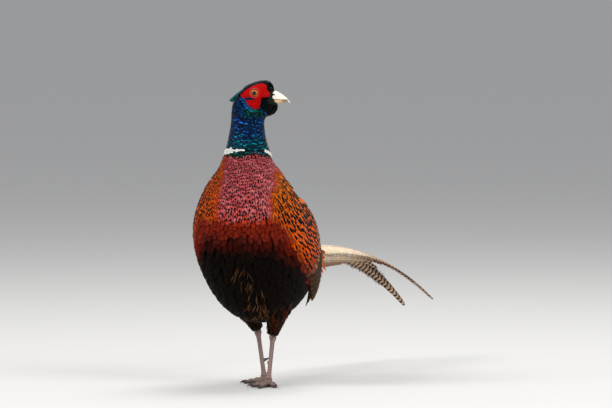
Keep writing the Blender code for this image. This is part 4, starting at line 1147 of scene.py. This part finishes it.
def tail_feather(length, axis, spread, wide, tip, layer, root, rows, inner):
    """A long tail feather. Its middle lies axis * gathered + spread * t^1.5 from the ridge, and its half
    width is near wide * (1 - 0.9 t^1.5) + tip."""
    t = np.linspace(0, 1, rows)
    side = 1 if axis + spread >= 0 else -1
    along = root + (length - root) * t
    centre = axis * gathered(along) + spread * t**1.5
    full = wide * (1 - 0.9 * t**1.5) * (0.42 + 0.58 * np.minimum(1, t / 0.14)) + tip
    full = full * np.sqrt(np.clip((1.001 - t) / 0.02, 0, 1) * 0.8 + 0.2)
    c = np.linspace(-1, 1, 9)
    notch = 1 + 0.05 * (np.sin(t * 61) * np.sin(t * 23 + length))[:, None] * np.abs(c) ** 3
    down = centre[:, None] + c * full[:, None] * notch
    if inner is not None:
        least = inner * np.where(c * side < 0, 0.6, 1.2) * gathered(along)[:, None]
        down = side * np.maximum(side * down, least)
    place, normal = tail_roof(np.broadcast_to(along[:, None], down.shape), down, layer)
    top = place + normal * (TAIL_BARB * (1 - c**2))[:, None]
    under = top[:, 4] - normal[:, 4] * 0.75
    return np.concatenate((top, under[:, None]), axis=1), own_places(t, c)


def make_tail():
    """All the long tail feathers as one piece, each with its own strip of the bake map."""
    table = tail_feathers()
    points, quads, own, flat, lengths, start = [], [], [], [], [], 0
    for k, row in enumerate(table):
        ring, uv = tail_feather(*row)
        share = row[0] / TAIL_LENGTH
        one = ring.reshape(-1, 3)
        faces = grid_faces(1, *ring.shape[:2])
        if inside_out(one, faces):
            faces = faces[:, ::-1]
        points.append(one)
        quads.append(faces + start)
        own.append(uv)
        flat.append((uv * STRIP_SIZE * (1, share) + STRIP_START + (k, 0)) / (len(table), 1))
        lengths.append(np.full(len(one), share))
        start += len(one)
    made, corners = put_mesh("tail_feathers", np.vstack(points), np.vstack(quads))
    put_uv(made.data, "FeatherUV", corners, np.vstack(own))
    put_uv(made.data, "OFBake", corners, np.vstack(flat))
    put_values(made.data, "length", "FLOAT", np.concatenate(lengths))
    vanes = surface("tail_feather", tail_look, 0.5, 0.0002, 0.15, roughness=0.55)
    finish_piece(made, "tail_buff", vanes, "tail")


def tail_look(tree):
    """Buff vanes with a pale quill, dark bars that turn strong towards the tip, and purple-brown hairy edges.
    The bars lie 12 mm apart and slant back from the quill."""
    c, t = feather_place(tree)
    length = attribute(tree, "length", "Fac")
    along = t * length
    place = object_place(tree)
    mottle = place.noise(140.0, 4.0)
    stretched = add_node(tree, "ShaderNodeCombineXYZ", ((along - c * 0.02) * 420.0, c * 2.0))
    hair = Wire(stretched.outputs[0]).noise(1.0, 2.0)
    tone = mottle.ramp(0.35, 0.7)
    node = add_node(tree, "ShaderNodeMix", (tone,), data_type="RGBA")
    feed(node.inputs[6], TAIL_BUFF)
    feed(node.inputs[7], CREAM)
    tone = Wire(node.outputs[2]).blend(place.noise(900.0, 3.0).ramp(0.45, 0.75) * 0.35, SAND)
    edge = (c + hair.math("MULTIPLY_ADD", 0.5, -0.25)).ramp(0.6, 0.95)
    edge = edge * along.ramp(0.26, 0.5, 0.1, 0.8) * along.ramp(0.55, 0.75, 1.0, 0.3)
    tone = tone.blend(edge, TAIL_FRINGE).blend(along.ramp(0.36, 0.62, 0.0, 0.8), TAIL_SHADE)
    tone = tone.blend(length.ramp(0.32, 0.46, 0.85, 0.2) * length.ramp(0.84, 0.92, 1.0, 0.0), TAIL_FRINGE)
    wave = ((along + c * 0.012) * 240.0 + mottle * 2.0).math("SINE")
    tone = tone.blend(wave.ramp(-0.3, 0.1) * along.ramp(0.3, 0.62, 0.05, 1.0), TAIL_BAR)
    tone = tone.blend(c.ramp(0.03, 0.09, 0.8, 0.0), SAND)
    barbs = (along * 1600.0 - c * 40.0).math("SINE")
    return tone, barbs * 0.5 + c.ramp(0.02, 0.1, 2.0, 0.0)


def make_tail_coverts():
    """Coverts over the tail's root."""
    count, widest = 110, 34
    along = 2 + 26 * RANDOM.random(count)
    down = (RANDOM.random(count) * 2 - 1) * widest
    length = (28 + 30 * RANDOM.random(count)) * (1 - 0.25 * np.abs(down) / widest)
    width = 5.5 * vary(count, 0.2)

    def place(reach, side):
        a = along[:, None, None] + reach[:, :, None] + 0 * side
        return tail_roof(a, down[:, None, None] * gathered(a) * (1 + 0.15 * reach[:, :, None] / 60) + side)

    tone = mix(RUMP_ORANGE, RUFOUS, RANDOM.random(count) * 0.8)
    tone = mix(tone, GREEN_GREY, (np.abs(down) < 16) * 0.45)
    feather_piece("tail_coverts", "tail_buff", BACK_PLUMAGE, place, length, width, (-1.5, 2.2), POINTED,
                  (tone, MAROON, (0.3, 0.3, 0.5)), np.column_stack(((down + 36) / 72, along / 30)), cup=0.3,
                  thick=0.4)


def make_rump_plumes():
    """Loose plumes either side of the tail's root, drooping back and down as they go out."""
    count = 90
    sides = np.where(np.arange(count) % 2 == 0, 1.0, -1.0)
    start = 1 + 36 * RANDOM.random(count)
    reach_out = 30 + 22 * RANDOM.random(count)
    fall = (40 - 0.55 * start) * (0.6 + 0.6 * RANDOM.random(count))
    spot, way, left, up = tail_frame(start)
    base_out = 10 + 4 * RANDOM.random(count)
    base_down = 11 + 12 * RANDOM.random(count)
    length = np.hypot(reach_out, fall)

    def place(reach, side):
        t = reach / length[:, None]
        out = left * (sides[:, None] * (base_out[:, None] + 6.5 * np.minimum(1, t * 2.2)))[..., None]
        centre = spot[:, None] + out - up[:, None] * (base_down[:, None] + fall[:, None] * t**1.6)[..., None]
        centre = centre + way[:, None] * (reach_out[:, None] * t)[..., None]
        points = centre[:, :, None] + unit(up * 0.75 + way * 0.55)[:, None, None] * side[..., None]
        return points, np.broadcast_to((left * sides[:, None])[:, None, None], points.shape)

    tone = mix(RUMP_ORANGE, SAND, 0.05 + RANDOM.random(count) * 0.5)
    bake = np.column_stack(((sides * (0.2 + base_down / 60) + 1) / 2, start / 40))
    feather_piece("rump_plumes", "tail_buff", BACK_PLUMAGE, place, length, 2.4 * vary(count, 0.3), (0, 0),
                  POINTED, (tone, RUFOUS, (0.25, 0.3, 0.5)), bake, cup=0.3, thick=0.35)


def make_tail_fringe():
    """The loose, hair-like edges of the long middle pair: fine barbs that start just inside a feather's edge
    and go back 0.87 and outward 0.5 of their length, over the vane."""
    per_edge, root = 150, 16
    edges = [(*row[:6], side) for row in tail_feathers()[:2] for side in (-1, 1)]
    length, axis, spread, wide, tip, layer, side = np.repeat(edges, per_edge, 0).T
    count = len(side)
    t = 0.16 + 0.62 * RANDOM.random(count)
    along = root + (length - root) * t
    full = wide * (1 - 0.9 * t**1.5) + tip
    start = axis * gathered(along) + spread * t**1.5 + side * full * (0.9 + 0.08 * RANDOM.random(count))
    slant = 0.3 + 0.35 * RANDOM.random(count)

    def place(reach, across):
        a = along[:, None, None] + 0.87 * reach[:, :, None] - 0.5 * across * side[:, None, None]
        d = start[:, None, None] + (side * slant)[:, None, None] * reach[:, :, None] + 0.87 * across
        return tail_roof(a, d, (layer - TAIL_BARB)[:, None, None, None])

    tone = mix(mix(CREAM, TAIL_FRINGE, 0.2 + 0.5 * RANDOM.random(count)), TAIL_FRINGE, step(t, 0.25, 0.6))
    barb = (4 + 5 * RANDOM.random(count)) * (1.15 - 0.5 * t)
    feather_piece("tail_fringe", "tail_buff", BACK_PLUMAGE, place, barb, 0.42 * vary(count, 0.3), (0.0, 0.2),
                  POINTED, (tone, TAIL_FRINGE, NO_MARKS), np.column_stack(((start + 45) / 90, t)), 3,
                  cup=0.05, thick=0.2)


# Boxes of belly wisps: sideways as the camera sees them, from and to, then up, from and to, and how many.
WISP_BOXES = (
    (-32, -14, 156, 174, 11), (-26, -6, 140, 158, 10), (-14, 8, 118, 140, 14), (-14, 12, 92, 120, 34),
    (2, 34, 92, 114, 34), (-44, -6, 88, 104, 14),
)


def make_belly_wisps():
    """Loose brown feathers down the middle of the belly and between the thighs. Their roots are drawn in
    boxes, each put on the nearest point of the body's front."""
    spots = []
    for low, high, under, over, count in WISP_BOXES:
        across = low + (high - low) * RANDOM.random(count)
        spots.append(np.column_stack((across, under + (over - under) * RANDOM.random(count))))
    v, u = np.meshgrid(np.arange(BODY.rows), np.arange(SIDES), indexing="ij")
    facing = BODY.normals @ (-ACROSS_VIEW[1], ACROSS_VIEW[0], 0) > 0
    flat = np.stack((BODY.rings[..., :2] @ ACROSS_VIEW, BODY.rings[..., 2]), -1)[facing]
    near = np.argmin(((np.vstack(spots)[:, None] - flat) ** 2).sum(-1), 1)
    count = len(near)
    v, u = v[facing][near] + RANDOM.normal(0, 0.3, count), u[facing][near] + RANDOM.normal(0, 0.3, count)
    tone = mix(THIGH_BROWN, SAND, 0.05 + 0.42 * RANDOM.random(count))
    feather_piece("belly_wisps", "chestnut", BELLY_PLUMAGE, BODY.lie(v, u, RANDOM.normal(0.3, 0.3, count)),
                  8 + 9 * RANDOM.random(count), 0.42 * vary(count, 0.4), (-0.4, 1.4), POINTED,
                  (tone, BELLY_BLACK, (0.1, 0.2, 0.3)), bake_places(v, u), 3, cup=0.1, thick=0.25)


# Head pieces

HEAD_HIDE = Hide(rib_rings(spline(HEAD_RIBS, 8), SIDES))
HALF_SIDES = 45  # points of a head ring that lie clear of the crown's and throat's middle lines, on one side


def side_of_head(side, ahead, up):
    """The head's surface, in the head's frame, at these (ahead, up) places on one side: the nearest grid
    point, then a few Newton steps on the bilinear surface. Returns points and normals."""
    wanted = np.stack((ahead, up), -1).reshape(-1, 2)
    first = 2 if side == "left" else 50
    half = HEAD_HIDE.rings[:, first : first + HALF_SIDES, 1:].reshape(-1, 2)
    best = np.argmin(((half - wanted[:, None]) ** 2).sum(-1), 1)
    v, u = best // HALF_SIDES + 0.0, best % HALF_SIDES + float(first)

    def read(v, u):
        return HEAD_HIDE.read(HEAD_HIDE.rings, v, u)[:, 1:]

    for _ in range(6):
        gap = (wanted - read(v, u)).T
        dv = (read(v + 0.25, u) - read(v - 0.25, u)).T * 2
        du = (read(v, u + 0.25) - read(v, u - 0.25)).T * 2
        det = dv[0] * du[1] - dv[1] * du[0]
        det = np.where(np.abs(det) < 1e-3, 1e-3, det)
        v = v + np.clip((gap[0] * du[1] - gap[1] * du[0]) / det, -1, 1)
        u = u + np.clip((gap[1] * dv[0] - gap[0] * dv[1]) / det, -1, 1)
    out = HEAD_HIDE.read(HEAD_HIDE.rings, v, u)[:, :1]
    normals = unit(HEAD_HIDE.read(HEAD_HIDE.normals, v, u))
    return np.column_stack((out, wanted)).reshape(*ahead.shape, 3), normals.reshape(*ahead.shape, 3)


def make_face_skin(side):
    """The bare red skin round an eye: rings from the lid out to the outline, raised by small warts, and
    turned down to the head at its edge. distance = lid + (reach - lid) * share."""
    turned, rows = 160, 34
    a = turns(turned)
    share = np.linspace(0, 1, rows)[:, None]
    distance = LID_RADIUS + (face_reach(np.degrees(a)) - LID_RADIUS) * share
    ahead, up = distance * np.cos(a), distance * np.sin(a)
    points, normals = side_of_head(side, ahead, up)
    normals = unit(normals + (SIGN[side] * 0.6, 0, 0))
    warts = np.sin(ahead * 2.6 + 0.8 * np.sin(up * 1.9)) * np.sin(up * 2.7 + 0.9 * np.sin(ahead * 1.7 + 1))
    warts = np.abs(warts)
    swell = np.sqrt(np.clip(1 - share, 0, 1)) * 1.1 + 0.9
    height = swell + WART_HEIGHT * warts * step(distance, 7.5, 9) + 0.9 * bump(distance, 6.6, 1.1)
    height = height - 0.35 * bump(distance, 9.2, 1.0)
    rim = step(1 - share, 0, 0.05)
    top = points + normals * (height * rim - 0.8 * (1 - rim))[..., None]
    # Inner rows follow the eyeball, so that the lid hugs it.
    ball = np.sqrt(np.clip((EYE_RADIUS + 0.15) ** 2 - distance**2, 0, None))
    over_ball = SIGN[side] * np.maximum(np.abs(top[..., 0]), EYE_SIDE + ball + 0.35)
    top[..., 0] = np.where(distance < EYE_RADIUS + 0.4, over_ball, top[..., 0])
    under = points - normals * 1.2
    flat = turn_head(np.concatenate((top, under[::-1]))).reshape(-1, 3)
    count = rows * 2
    i, k, after = lattice(count, turned)
    onward = (i + 1) % count
    quads = np.stack((i * turned + k, i * turned + after, onward * turned + after, onward * turned + k), 1)
    made, corners = put_mesh(f"face_{side}", flat, quads[:, ::-1] if inside_out(flat, quads) else quads)
    # Deeper red in the low places between warts, and darkest in the deepest gaps: painted shade in the
    # hollows.
    tone = mix(FACE_RED, FACE_HOLLOW_SHADE, 0.1 + 0.75 * step(0.62 - warts, 0, 0.5))
    tone = mix(tone, WART_GAP_SHADE, step(0.12 - warts, 0, 0.1) * step(distance, 9, 12) * 0.7)
    tone = mix(tone, FACE_MOTTLE, step(ripple(points, 1.6, 4.0), 0.1, 0.7) * step(distance, 8, 11) * 0.55)
    tone = mix(tone, LID_EDGE, bump(distance, 5.5, 0.4) * 0.3)
    put_values(made.data, "tone", "FLOAT_COLOR", np.concatenate((tone, tone[::-1])).reshape(-1, 3))
    put_uv(made.data, "FaceUV", corners, np.column_stack((k / turned, i / count)))
    finish_piece(made, "face_red", FACE_SKIN, f"wattle_{side}")


def make_tiny_rows(name, side, ahead, up, jitter, droop, length, width, lifts, tone, blackened, box, cup):
    """Tiny feathers that lie back from these (ahead, up) places of the head. box holds the least ahead and up
    and the spans of their bake map."""
    count = len(ahead)
    ahead = ahead + RANDOM.normal(0, jitter, count)

    def place(reach, across):
        a = ahead[:, None, None] - reach[:, :, None] + 0 * across
        points, normals = side_of_head(side, a, up[:, None, None] + across - droop * reach[:, :, None])
        return turn_head(points), normals @ HEAD_WAYS

    tone = mix(tone, FEATHER_BLACK, RANDOM.random(count) * blackened)
    bake = (np.column_stack((ahead, up)) - box[:2]) / box[2:]
    feather_piece(name, "neck_blue", NECK_PLUMAGE, place, np.full(count, length), width, lifts, SMALL,
                  (tone, FEATHER_BLACK, NO_MARKS), bake, 3, cup=cup, thick=0.2)


def make_eye_streak(side):
    """The short dark blue line of tiny feathers under the eye, in four staggered rows."""
    ahead = np.linspace(1.5, -9.5, 15) + (np.arange(4) % 2)[:, None] * 0.4
    up = np.linspace(-6.6, -8.9, 4)[:, None] + 0.05 * (ahead + 4)
    make_tiny_rows(f"eye_streak_{side}", side, ahead.ravel(), up.ravel(), 0.15, 0.05, 3.0, 0.55, (1.6, 2.6),
                   STREAK_BLUE, 0.4, (-12, -10, 16, 5), 0.1)


def make_lores(side):
    """Tiny black feathers between the red skin and the bill, in staggered rows that lie back from it."""
    ahead = np.linspace(13.0, 24.5, 9) + (np.arange(17) % 2)[:, None] * 0.7
    up = np.linspace(-20, 7, 17)[:, None] + 0 * ahead
    on_bill = (ahead > 20.8) & (up < 3.4) & (up > -13.5)
    keep = (face_share(ahead - 3.2, up) > 0.9) & ~on_bill
    make_tiny_rows(f"lores_{side}", side, ahead[keep], up[keep], 0.2, 0.2, 4.2, 1.15, (-0.3, 1.0),
                   THROAT_BLACK, 1.0, (10, -22, 17, 31), 0.2)


def make_ear_tuft(side):
    """The pointed tuft behind the crown: narrow feathers that start along the side of the head and draw
    together to a point behind it."""
    count = 64
    s = RANDOM.random(count)
    r = RANDOM.random(count)
    sign = SIGN[side]
    ahead = -9 - 14 * s + 2 * (r - 0.5)
    up = 8.2 - 9.6 * s + 3 * (r - 0.5)
    root, normal = side_of_head(side, ahead, up)
    tip = np.column_stack((sign * (12 + 2.4 * s), -36.5 + 4.5 * s + 3 * r, -10.6 - 2.2 * s + 1.5 * (r - 0.5)))
    full = np.linalg.norm(tip - root, axis=1)
    way = unit(tip - root)[:, None]

    def place(reach, across):
        t = (reach / full[:, None])[..., None]
        face = unit(normal[:, None] * (1 - t) + np.array((sign * 0.9, 0, 0.35)) * t)
        face = unit(face - way * np.sum(face * way, -1, keepdims=True))
        centre = root[:, None] + (tip - root)[:, None] * t + face * 2.0 * np.sin(math.pi * t)
        points = centre[:, :, None] + np.cross(face, way)[:, :, None] * across[..., None]
        return turn_head(points), np.broadcast_to(face[:, :, None], points.shape) @ HEAD_WAYS

    # Green to teal at random; the teal is the crown's, brightened as painted highlight.
    tone = mix(TUFT_GREEN, CROWN_TEAL, RANDOM.random(count))
    bake = np.column_stack(((ahead + 26) / 20, (up + 6) / 18))
    feather_piece(f"head_tuft_{side}", "neck_blue", NECK_PLUMAGE, place, full, 1.25 * vary(count, 0.2),
                  (0.2, 0.6 + 0.4 * r), POINTED, (tone, FEATHER_BLACK, (0.1, 0.2, 0.4)), bake, 3, cup=0.1,
                  thick=0.25, replaced=(f"ear_tuft_{side}",))


def make_eye(side):
    """The eyeball: a sphere whose clear front swells over the iris. The tone goes by the distance
    from the eye's axis: pupil, orange iris with a darker rim, dark beyond."""
    polar = np.linspace(0.02, math.pi - 0.02, 56)[:, None]
    a = turns(64)
    radius = EYE_RADIUS - 0.05 + CORNEA_SWELL * bump(polar, 0, 0.6)
    out = radius * np.cos(polar) + 0 * a
    ahead, up = radius * np.sin(polar) * np.cos(a), radius * np.sin(polar) * np.sin(a)
    from_axis = np.where(out < 0, 9.0, np.hypot(ahead, up))
    tone = mix(PUPIL, IRIS, step(from_axis, PUPIL_RADIUS, PUPIL_RADIUS + 0.25))
    tone = mix(tone, IRIS_GLOW, step(from_axis, 3.3, 3.6) * (1 - step(from_axis, 3.8, 4.3)) * 0.5)
    tone = mix(tone, EYE_RIM, step(from_axis, IRIS_RADIUS, IRIS_RADIUS + 0.4))
    rings = turn_head(np.stack((SIGN[side] * (EYE_SIDE + out), ahead, up), -1))
    closed_rings(f"eyeball_{side}", rings, "eye", EYE_GLASS, tone, f"eye_{side}")


def bill_rings(table, widest, sides):
    return rib_rings(spline([(a, top, a, bottom, half, widest) for a, top, bottom, half in table], 10), sides)


def make_bill():
    """Both halves of the bill over their sections, with the flap over each nostril raised from the upper half
    by a bell, and its slit sunk in below."""
    rings = bill_rings(UPPER_BILL, -0.6, 72)
    side, ahead, up = np.moveaxis(rings, -1, 0)
    flap = bump(ahead, 24.5, 4.6) * bump(up, 0.2, 2.6) * (np.abs(side) > 2)
    slit = bump(ahead, 24.8, 2.2) * bump(up, -2.5, 0.9) * (np.abs(side) > 2)
    # Darker towards the root, where the bill meets the head: painted shade.
    tone = mix(BILL_IVORY, BILL_ROOT, step(22 - ahead, 0, 8) * 0.5)
    tone = mix(tone, BILL_WARM, step(-up, 7.5, 9.4) * step(ahead, 20, 24) * (1 - step(ahead, 34, 37)) * 0.8)
    # A brown patch along the lower edge by the hook: painted shadow between the two halves.
    tone = mix(tone, BILL_HOOK_SHADOW, step(-up, 8.0, 9.8) * step(ahead, 35, 38) * (1 - step(ahead, 44, 47)) * 0.85)
    tone = mix(tone, NOSTRIL, np.clip(slit * 2.2, 0, 1))
    # A paler band along the top of the bill: painted highlight.
    tone = mix(tone, BILL_RIDGE_HIGHLIGHT, step(up - np.interp(ahead, (22, 40, 48), (0, -6, -12)), 0, 2) * 0.5)
    rings = rings + np.stack((np.sign(side) * (0.7 * flap - slit), 0 * side, 0.25 * flap), -1)
    closed_rings("bill_top", turn_head(rings), "ivory", BILL_HORN, tone, "bill_upper")
    rings = bill_rings(LOWER_BILL, 0.6, 56)
    # Darker towards the tip, under the upper half's hook: painted shadow.
    tone = mix(BILL_UNDER, BILL_UNDER_TIP_SHADOW, step(rings[..., 1], 33, 41) * 0.8)
    closed_rings("bill_bottom", turn_head(rings), "ivory", BILL_HORN, tone, "bill_lower")


# Legs


def leg_points(side):
    return np.array(LEGS[side], float)


def thigh_rings(side, rows, sides, inset=0.0):
    """The drumstick: oval rings from inside the torso down to just above the hock."""
    top, end = leg_points(side)[:2]
    s = np.linspace(0, 1, rows)
    shares, wide, tall = np.array(THIGH_SIZES).T
    wide, tall = (np.maximum(np.interp(s, shares, size) - inset, 2.0) for size in (wide, tall))
    return tube_rings(top + (end - top) * s[:, None], wide, tall, sides, (0, 1, 0))


def make_thigh_coat(side):
    """Soft dark feathers down the thigh, short enough to leave the hock bare."""
    hide = Hide(thigh_rings(side, 30, 48))
    v, u, spacing = hide.roots(20, 4.0, 28.5, 0.95, 3.4).T
    count = len(v)
    length = np.clip(spacing * 3.2, 11, 22) * vary(count, 0.15)
    length = np.minimum(length, 3 + (29.0 - v) / 29 * 75)
    u = u + RANDOM.normal(0, 0.3, count)
    reddish = step(ripple(hide.read(hide.rings, v, u), 9, 3.0), 0.1, 0.9) * 0.18
    tone = mix(mix(BELLY_BLACK, THIGH_BROWN, RANDOM.random(count)), RUFOUS, reddish)
    place = hide.lie(v, u, RANDOM.normal(0, 0.15, count), 1.0)
    feather_piece(f"thigh_coat_{side}", "thigh_dark", BELLY_PLUMAGE, place, length, spacing * 0.6,
                  (-2.8, 0.6 + RANDOM.normal(0, 0.3, count)), POINTED, (tone, BELLY_BLACK, (0.15, 0.3, 0.4)),
                  np.column_stack((u / 48 % 1, v / 30)), 3, cup=0.2, thick=0.3)


def make_tarsus(side):
    """The bare lower leg: a knobbed hock and a shank. Each of its front scutes rises SCUTE_RISE towards its
    lower edge, and small round scales roughen the back."""
    top, end, hock, foot = leg_points(side)
    down = unit(end - top)
    t = np.linspace(0, 1, 150)
    path = np.vstack((end + down * 0.3, end + down * 1.6, hock + (foot - hock) * t[:, None]))
    radius = 3.1 + 0.5 * np.abs(2 * t - 1) ** 3 + 1.9 * bump(t, 0, 0.07) + 1.1 * bump(t, 1, 0.05)
    radius = np.concatenate(((4.6, 5.3), radius))
    for _ in range(6):
        path[1:-1] = (path[:-2] + path[1:-1] * 2 + path[2:]) / 4
    rings = tube_rings(path, radius * 0.9, radius * 1.08, 40, (0, 1, 0))
    ways = unit(rings - rings.mean(1, keepdims=True))
    front = step(ways[..., 1], 0.15, 0.6)
    tall = np.concatenate(((0, 0), t))[:, None]
    scute = (tall * SHANK_SCUTES + 0.12 * ways[..., 0]) % 1.0
    round_scale = np.sin(np.arctan2(ways[..., 0], ways[..., 1]) * 7 + np.floor(tall * 38) * 1.6)
    lift = front * SCUTE_RISE * scute**1.6 + (1 - front) * 0.22 * np.abs(np.sin(tall * 120) * round_scale)
    rings = rings + ways * (lift * step(tall, 0.02, 0.08))[..., None]
    rings[-1, :, 2] = foot[2] - 0.1
    grey = mix(LEG_GREY, LEG_DARK, 1 - front * step(scute, 0.02, 0.2))
    grey = mix(grey, LEG_PALE, front * step(scute, 0.5, 1.0) * 0.6)
    closed_rings(f"lower_leg_{side}", rings, "leg_grey", LEG_SCALE, grey, f"tarsus_{side}")


def make_spur(side):
    """The heel spur, which leaves the shank inward and back and curves up as it narrows."""
    _, _, hock, foot = leg_points(side)
    s = np.linspace(0, SPUR_ALONG[-1], 24)
    path = hock + (foot - hock) * 0.66 + unit(np.array((SIGN[side] * -0.55, -0.8, 0.1))) * s[:, None]
    path[:, 2] += 1.8 * (s / 12) ** 2
    radius = np.interp(s, SPUR_ALONG, SPUR_RADIUS)
    closed_rings(f"heel_spur_{side}", tube_rings(path, radius, radius, 24), "claw", CLAW_HORN,
                 mix(SPUR_ROOT, SPUR_TIP, s / s[-1])[:, None], f"spur_{side}")


def toe_rings(side, turn, length, root_radius):
    """A toe: height and radius swell at its joints, (root - 1.3 t)(1 + 0.13 cos 2 pi joints t), scutes step
    over its top, and it is flat on the floor. Returns its rings, way, last centre and last radius."""
    angle = math.radians(turn)
    way = np.array((SIGN[side] * math.sin(angle), math.cos(angle), 0))
    t = np.linspace(0, 1, 70)
    joints = 3 if length > 20 else 1
    radius = (root_radius - 1.3 * t) * (1 + 0.13 * np.cos(2 * math.pi * joints * t))
    path = leg_points(side)[3] + way * (1.5 + length * t)[:, None]
    path[:, 2] = radius * 0.84 + (2.2 if turn > 90 else 1.0) * (1 - t) ** 2
    rings = tube_rings(path, radius, radius, 32)
    ways = unit(rings - rings.mean(1, keepdims=True))
    top = step(ways[..., 2], 0.0, 0.5)
    scute = (t[:, None] * length / SCUTE) % 1.0
    pads = np.abs(np.sin(t * joints * math.pi))[:, None]
    rings = rings + ways * (top * 0.3 * scute**1.5 + (1 - top) * 0.25 * pads)[..., None]
    rings[..., 2] = np.maximum(rings[..., 2], 0.0)
    return rings, way, path[-1], radius[-1]


def make_foot(side):
    """The foot: a pad under the lower leg and four toes, joined by a voxel remesh."""
    base = leg_points(side)[3] * (1, 1, 0)
    a = turns(32)
    round_base = np.column_stack((np.sin(a), np.cos(a), 0 * a))
    pad = [base + round_base * size + (0, 0, up) for up, size in SOLE_PAD]
    toes = [toe_rings(side, turn, length, radius)[0] for _, turn, length, radius, _ in TOES]

    def paint(place):
        scute = (np.hypot(*(place - base)[:, :2].T) / SCUTE) % 1.0
        return mix(TOE_DARK, TOE_GREY, step(place[:, 2], 1.5, 5) * (0.4 + 0.6 * step(scute, 0.1, 0.4)))

    lofts = [np.array(pad), *toes]
    joined_rings(f"toes_{side}", lofts, FOOT_VOXEL, "leg_grey", LEG_SCALE, paint, f"foot_{side}")


def make_claws(side):
    """A curved, tapering claw at the end of each toe."""
    t = np.linspace(0, 1, 26)
    for label, turn, length, radius, claw in TOES:
        _, way, start, size = toe_rings(side, turn, length, radius)
        path = start + way * (claw * t)[:, None]
        path[:, 2] += 1.3 * np.sin(math.pi * t) - 0.9 * t
        point = size * np.sqrt(np.clip((1.01 - t) / 0.06, 0, 1))
        rings = tube_rings(path, point * 0.8 * (1 - 0.85 * t), point * 0.84 * (1 - 0.82 * t), 20)
        rings[..., 2] = np.maximum(rings[..., 2], 0.0)
        closed_rings(f"nail_{side}_{label}", rings, "claw", CLAW_HORN, mix(CLAW_ROOT, CLAW_TIP, t)[:, None],
                     f"claw_{side}_{label}")


# Studio

# Soft panels: name, place, aim height, size, power, colour.
PANELS = (
    ("key", (-1.6, -2.2, 2.6), 0.25, 1.4, 62, (1.0, 0.98, 0.95)),
    ("fill", (2.6, -1.6, 1.6), 0.25, 1.6, 48, (1.0, 0.99, 0.97)),
    ("top", (0.3, 0.9, 2.8), 0.3, 1.6, 40, (1.0, 1.0, 1.0)),
)


def look_along(made, place, way):
    """Puts a light or camera at a place, looking this way."""
    made.location = place
    made.rotation_euler = way.to_track_quat("-Z", "Y").to_euler()


def make_studio():
    """A plain pale floor and soft lights from large panels."""
    bpy.ops.mesh.primitive_plane_add(size=160, location=(0, 0, -0.0005))
    floor = bpy.context.object
    floor.name = "floor"
    paper = bpy.data.materials.new("floor_paper")
    paper.use_nodes = True
    shader = paper.node_tree.nodes["Principled BSDF"]
    shader.inputs["Base Color"].default_value = (0.72, 0.71, 0.69, 1)
    shader.inputs["Roughness"].default_value = 0.9
    floor.data.materials.append(paper)
    world = bpy.data.worlds.new("studio")
    bpy.context.scene.world = world
    world.use_nodes = True
    world.node_tree.nodes["Background"].inputs[0].default_value = (0.86, 0.88, 0.92, 1)
    world.node_tree.nodes["Background"].inputs[1].default_value = 0.5
    for name, place, aim, size, power, colour in PANELS:
        light = bpy.data.lights.new(name, "AREA")
        light.shape = "SQUARE"
        light.size = size
        light.energy = power
        light.color = colour
        look_along(put_object(name, light), place, Vector((0, 0, aim)) - Vector(place))


def make_camera():
    """The photograph's view: 17 degrees round to the bird's left, a little above level, 9 m away."""
    camera = bpy.data.cameras.new("camera")
    holder = put_object("camera", camera)
    level, turn = math.cos(CAMERA_RISE), CAMERA_TURN
    back = Vector((math.sin(turn) * level, -math.cos(turn) * level, math.sin(CAMERA_RISE)))
    right = Vector((math.cos(turn), math.sin(turn), 0))
    middle = Vector(SHIFT) + right * CAMERA_AIM[0] + Vector((0, 0, CAMERA_AIM[1]))
    look_along(holder, middle + back * CAMERA_AWAY, -back)
    camera.sensor_width = 36
    camera.lens = camera.sensor_width * CAMERA_AWAY / FRAME_WIDE
    camera.clip_start, camera.clip_end = 0.1, 200
    bpy.context.scene.camera = holder


def main():
    bpy.context.scene.view_settings.view_transform = "Standard"
    make_camera()
    make_studio()
    make_skin()
    make_body_coat()
    make_neck_coat()
    make_head_coat()
    sided = (make_wing_pad, make_wing, make_face_skin, make_eye_streak, make_lores, make_ear_tuft, make_eye,
             make_thigh_coat, make_tarsus, make_spur, make_foot, make_claws)
    for side in SIGN:
        for make in sided:
            make(side)
    make_bill()
    make_tail()
    make_tail_coverts()
    make_tail_fringe()
    make_rump_plumes()
    make_belly_wisps()


main()
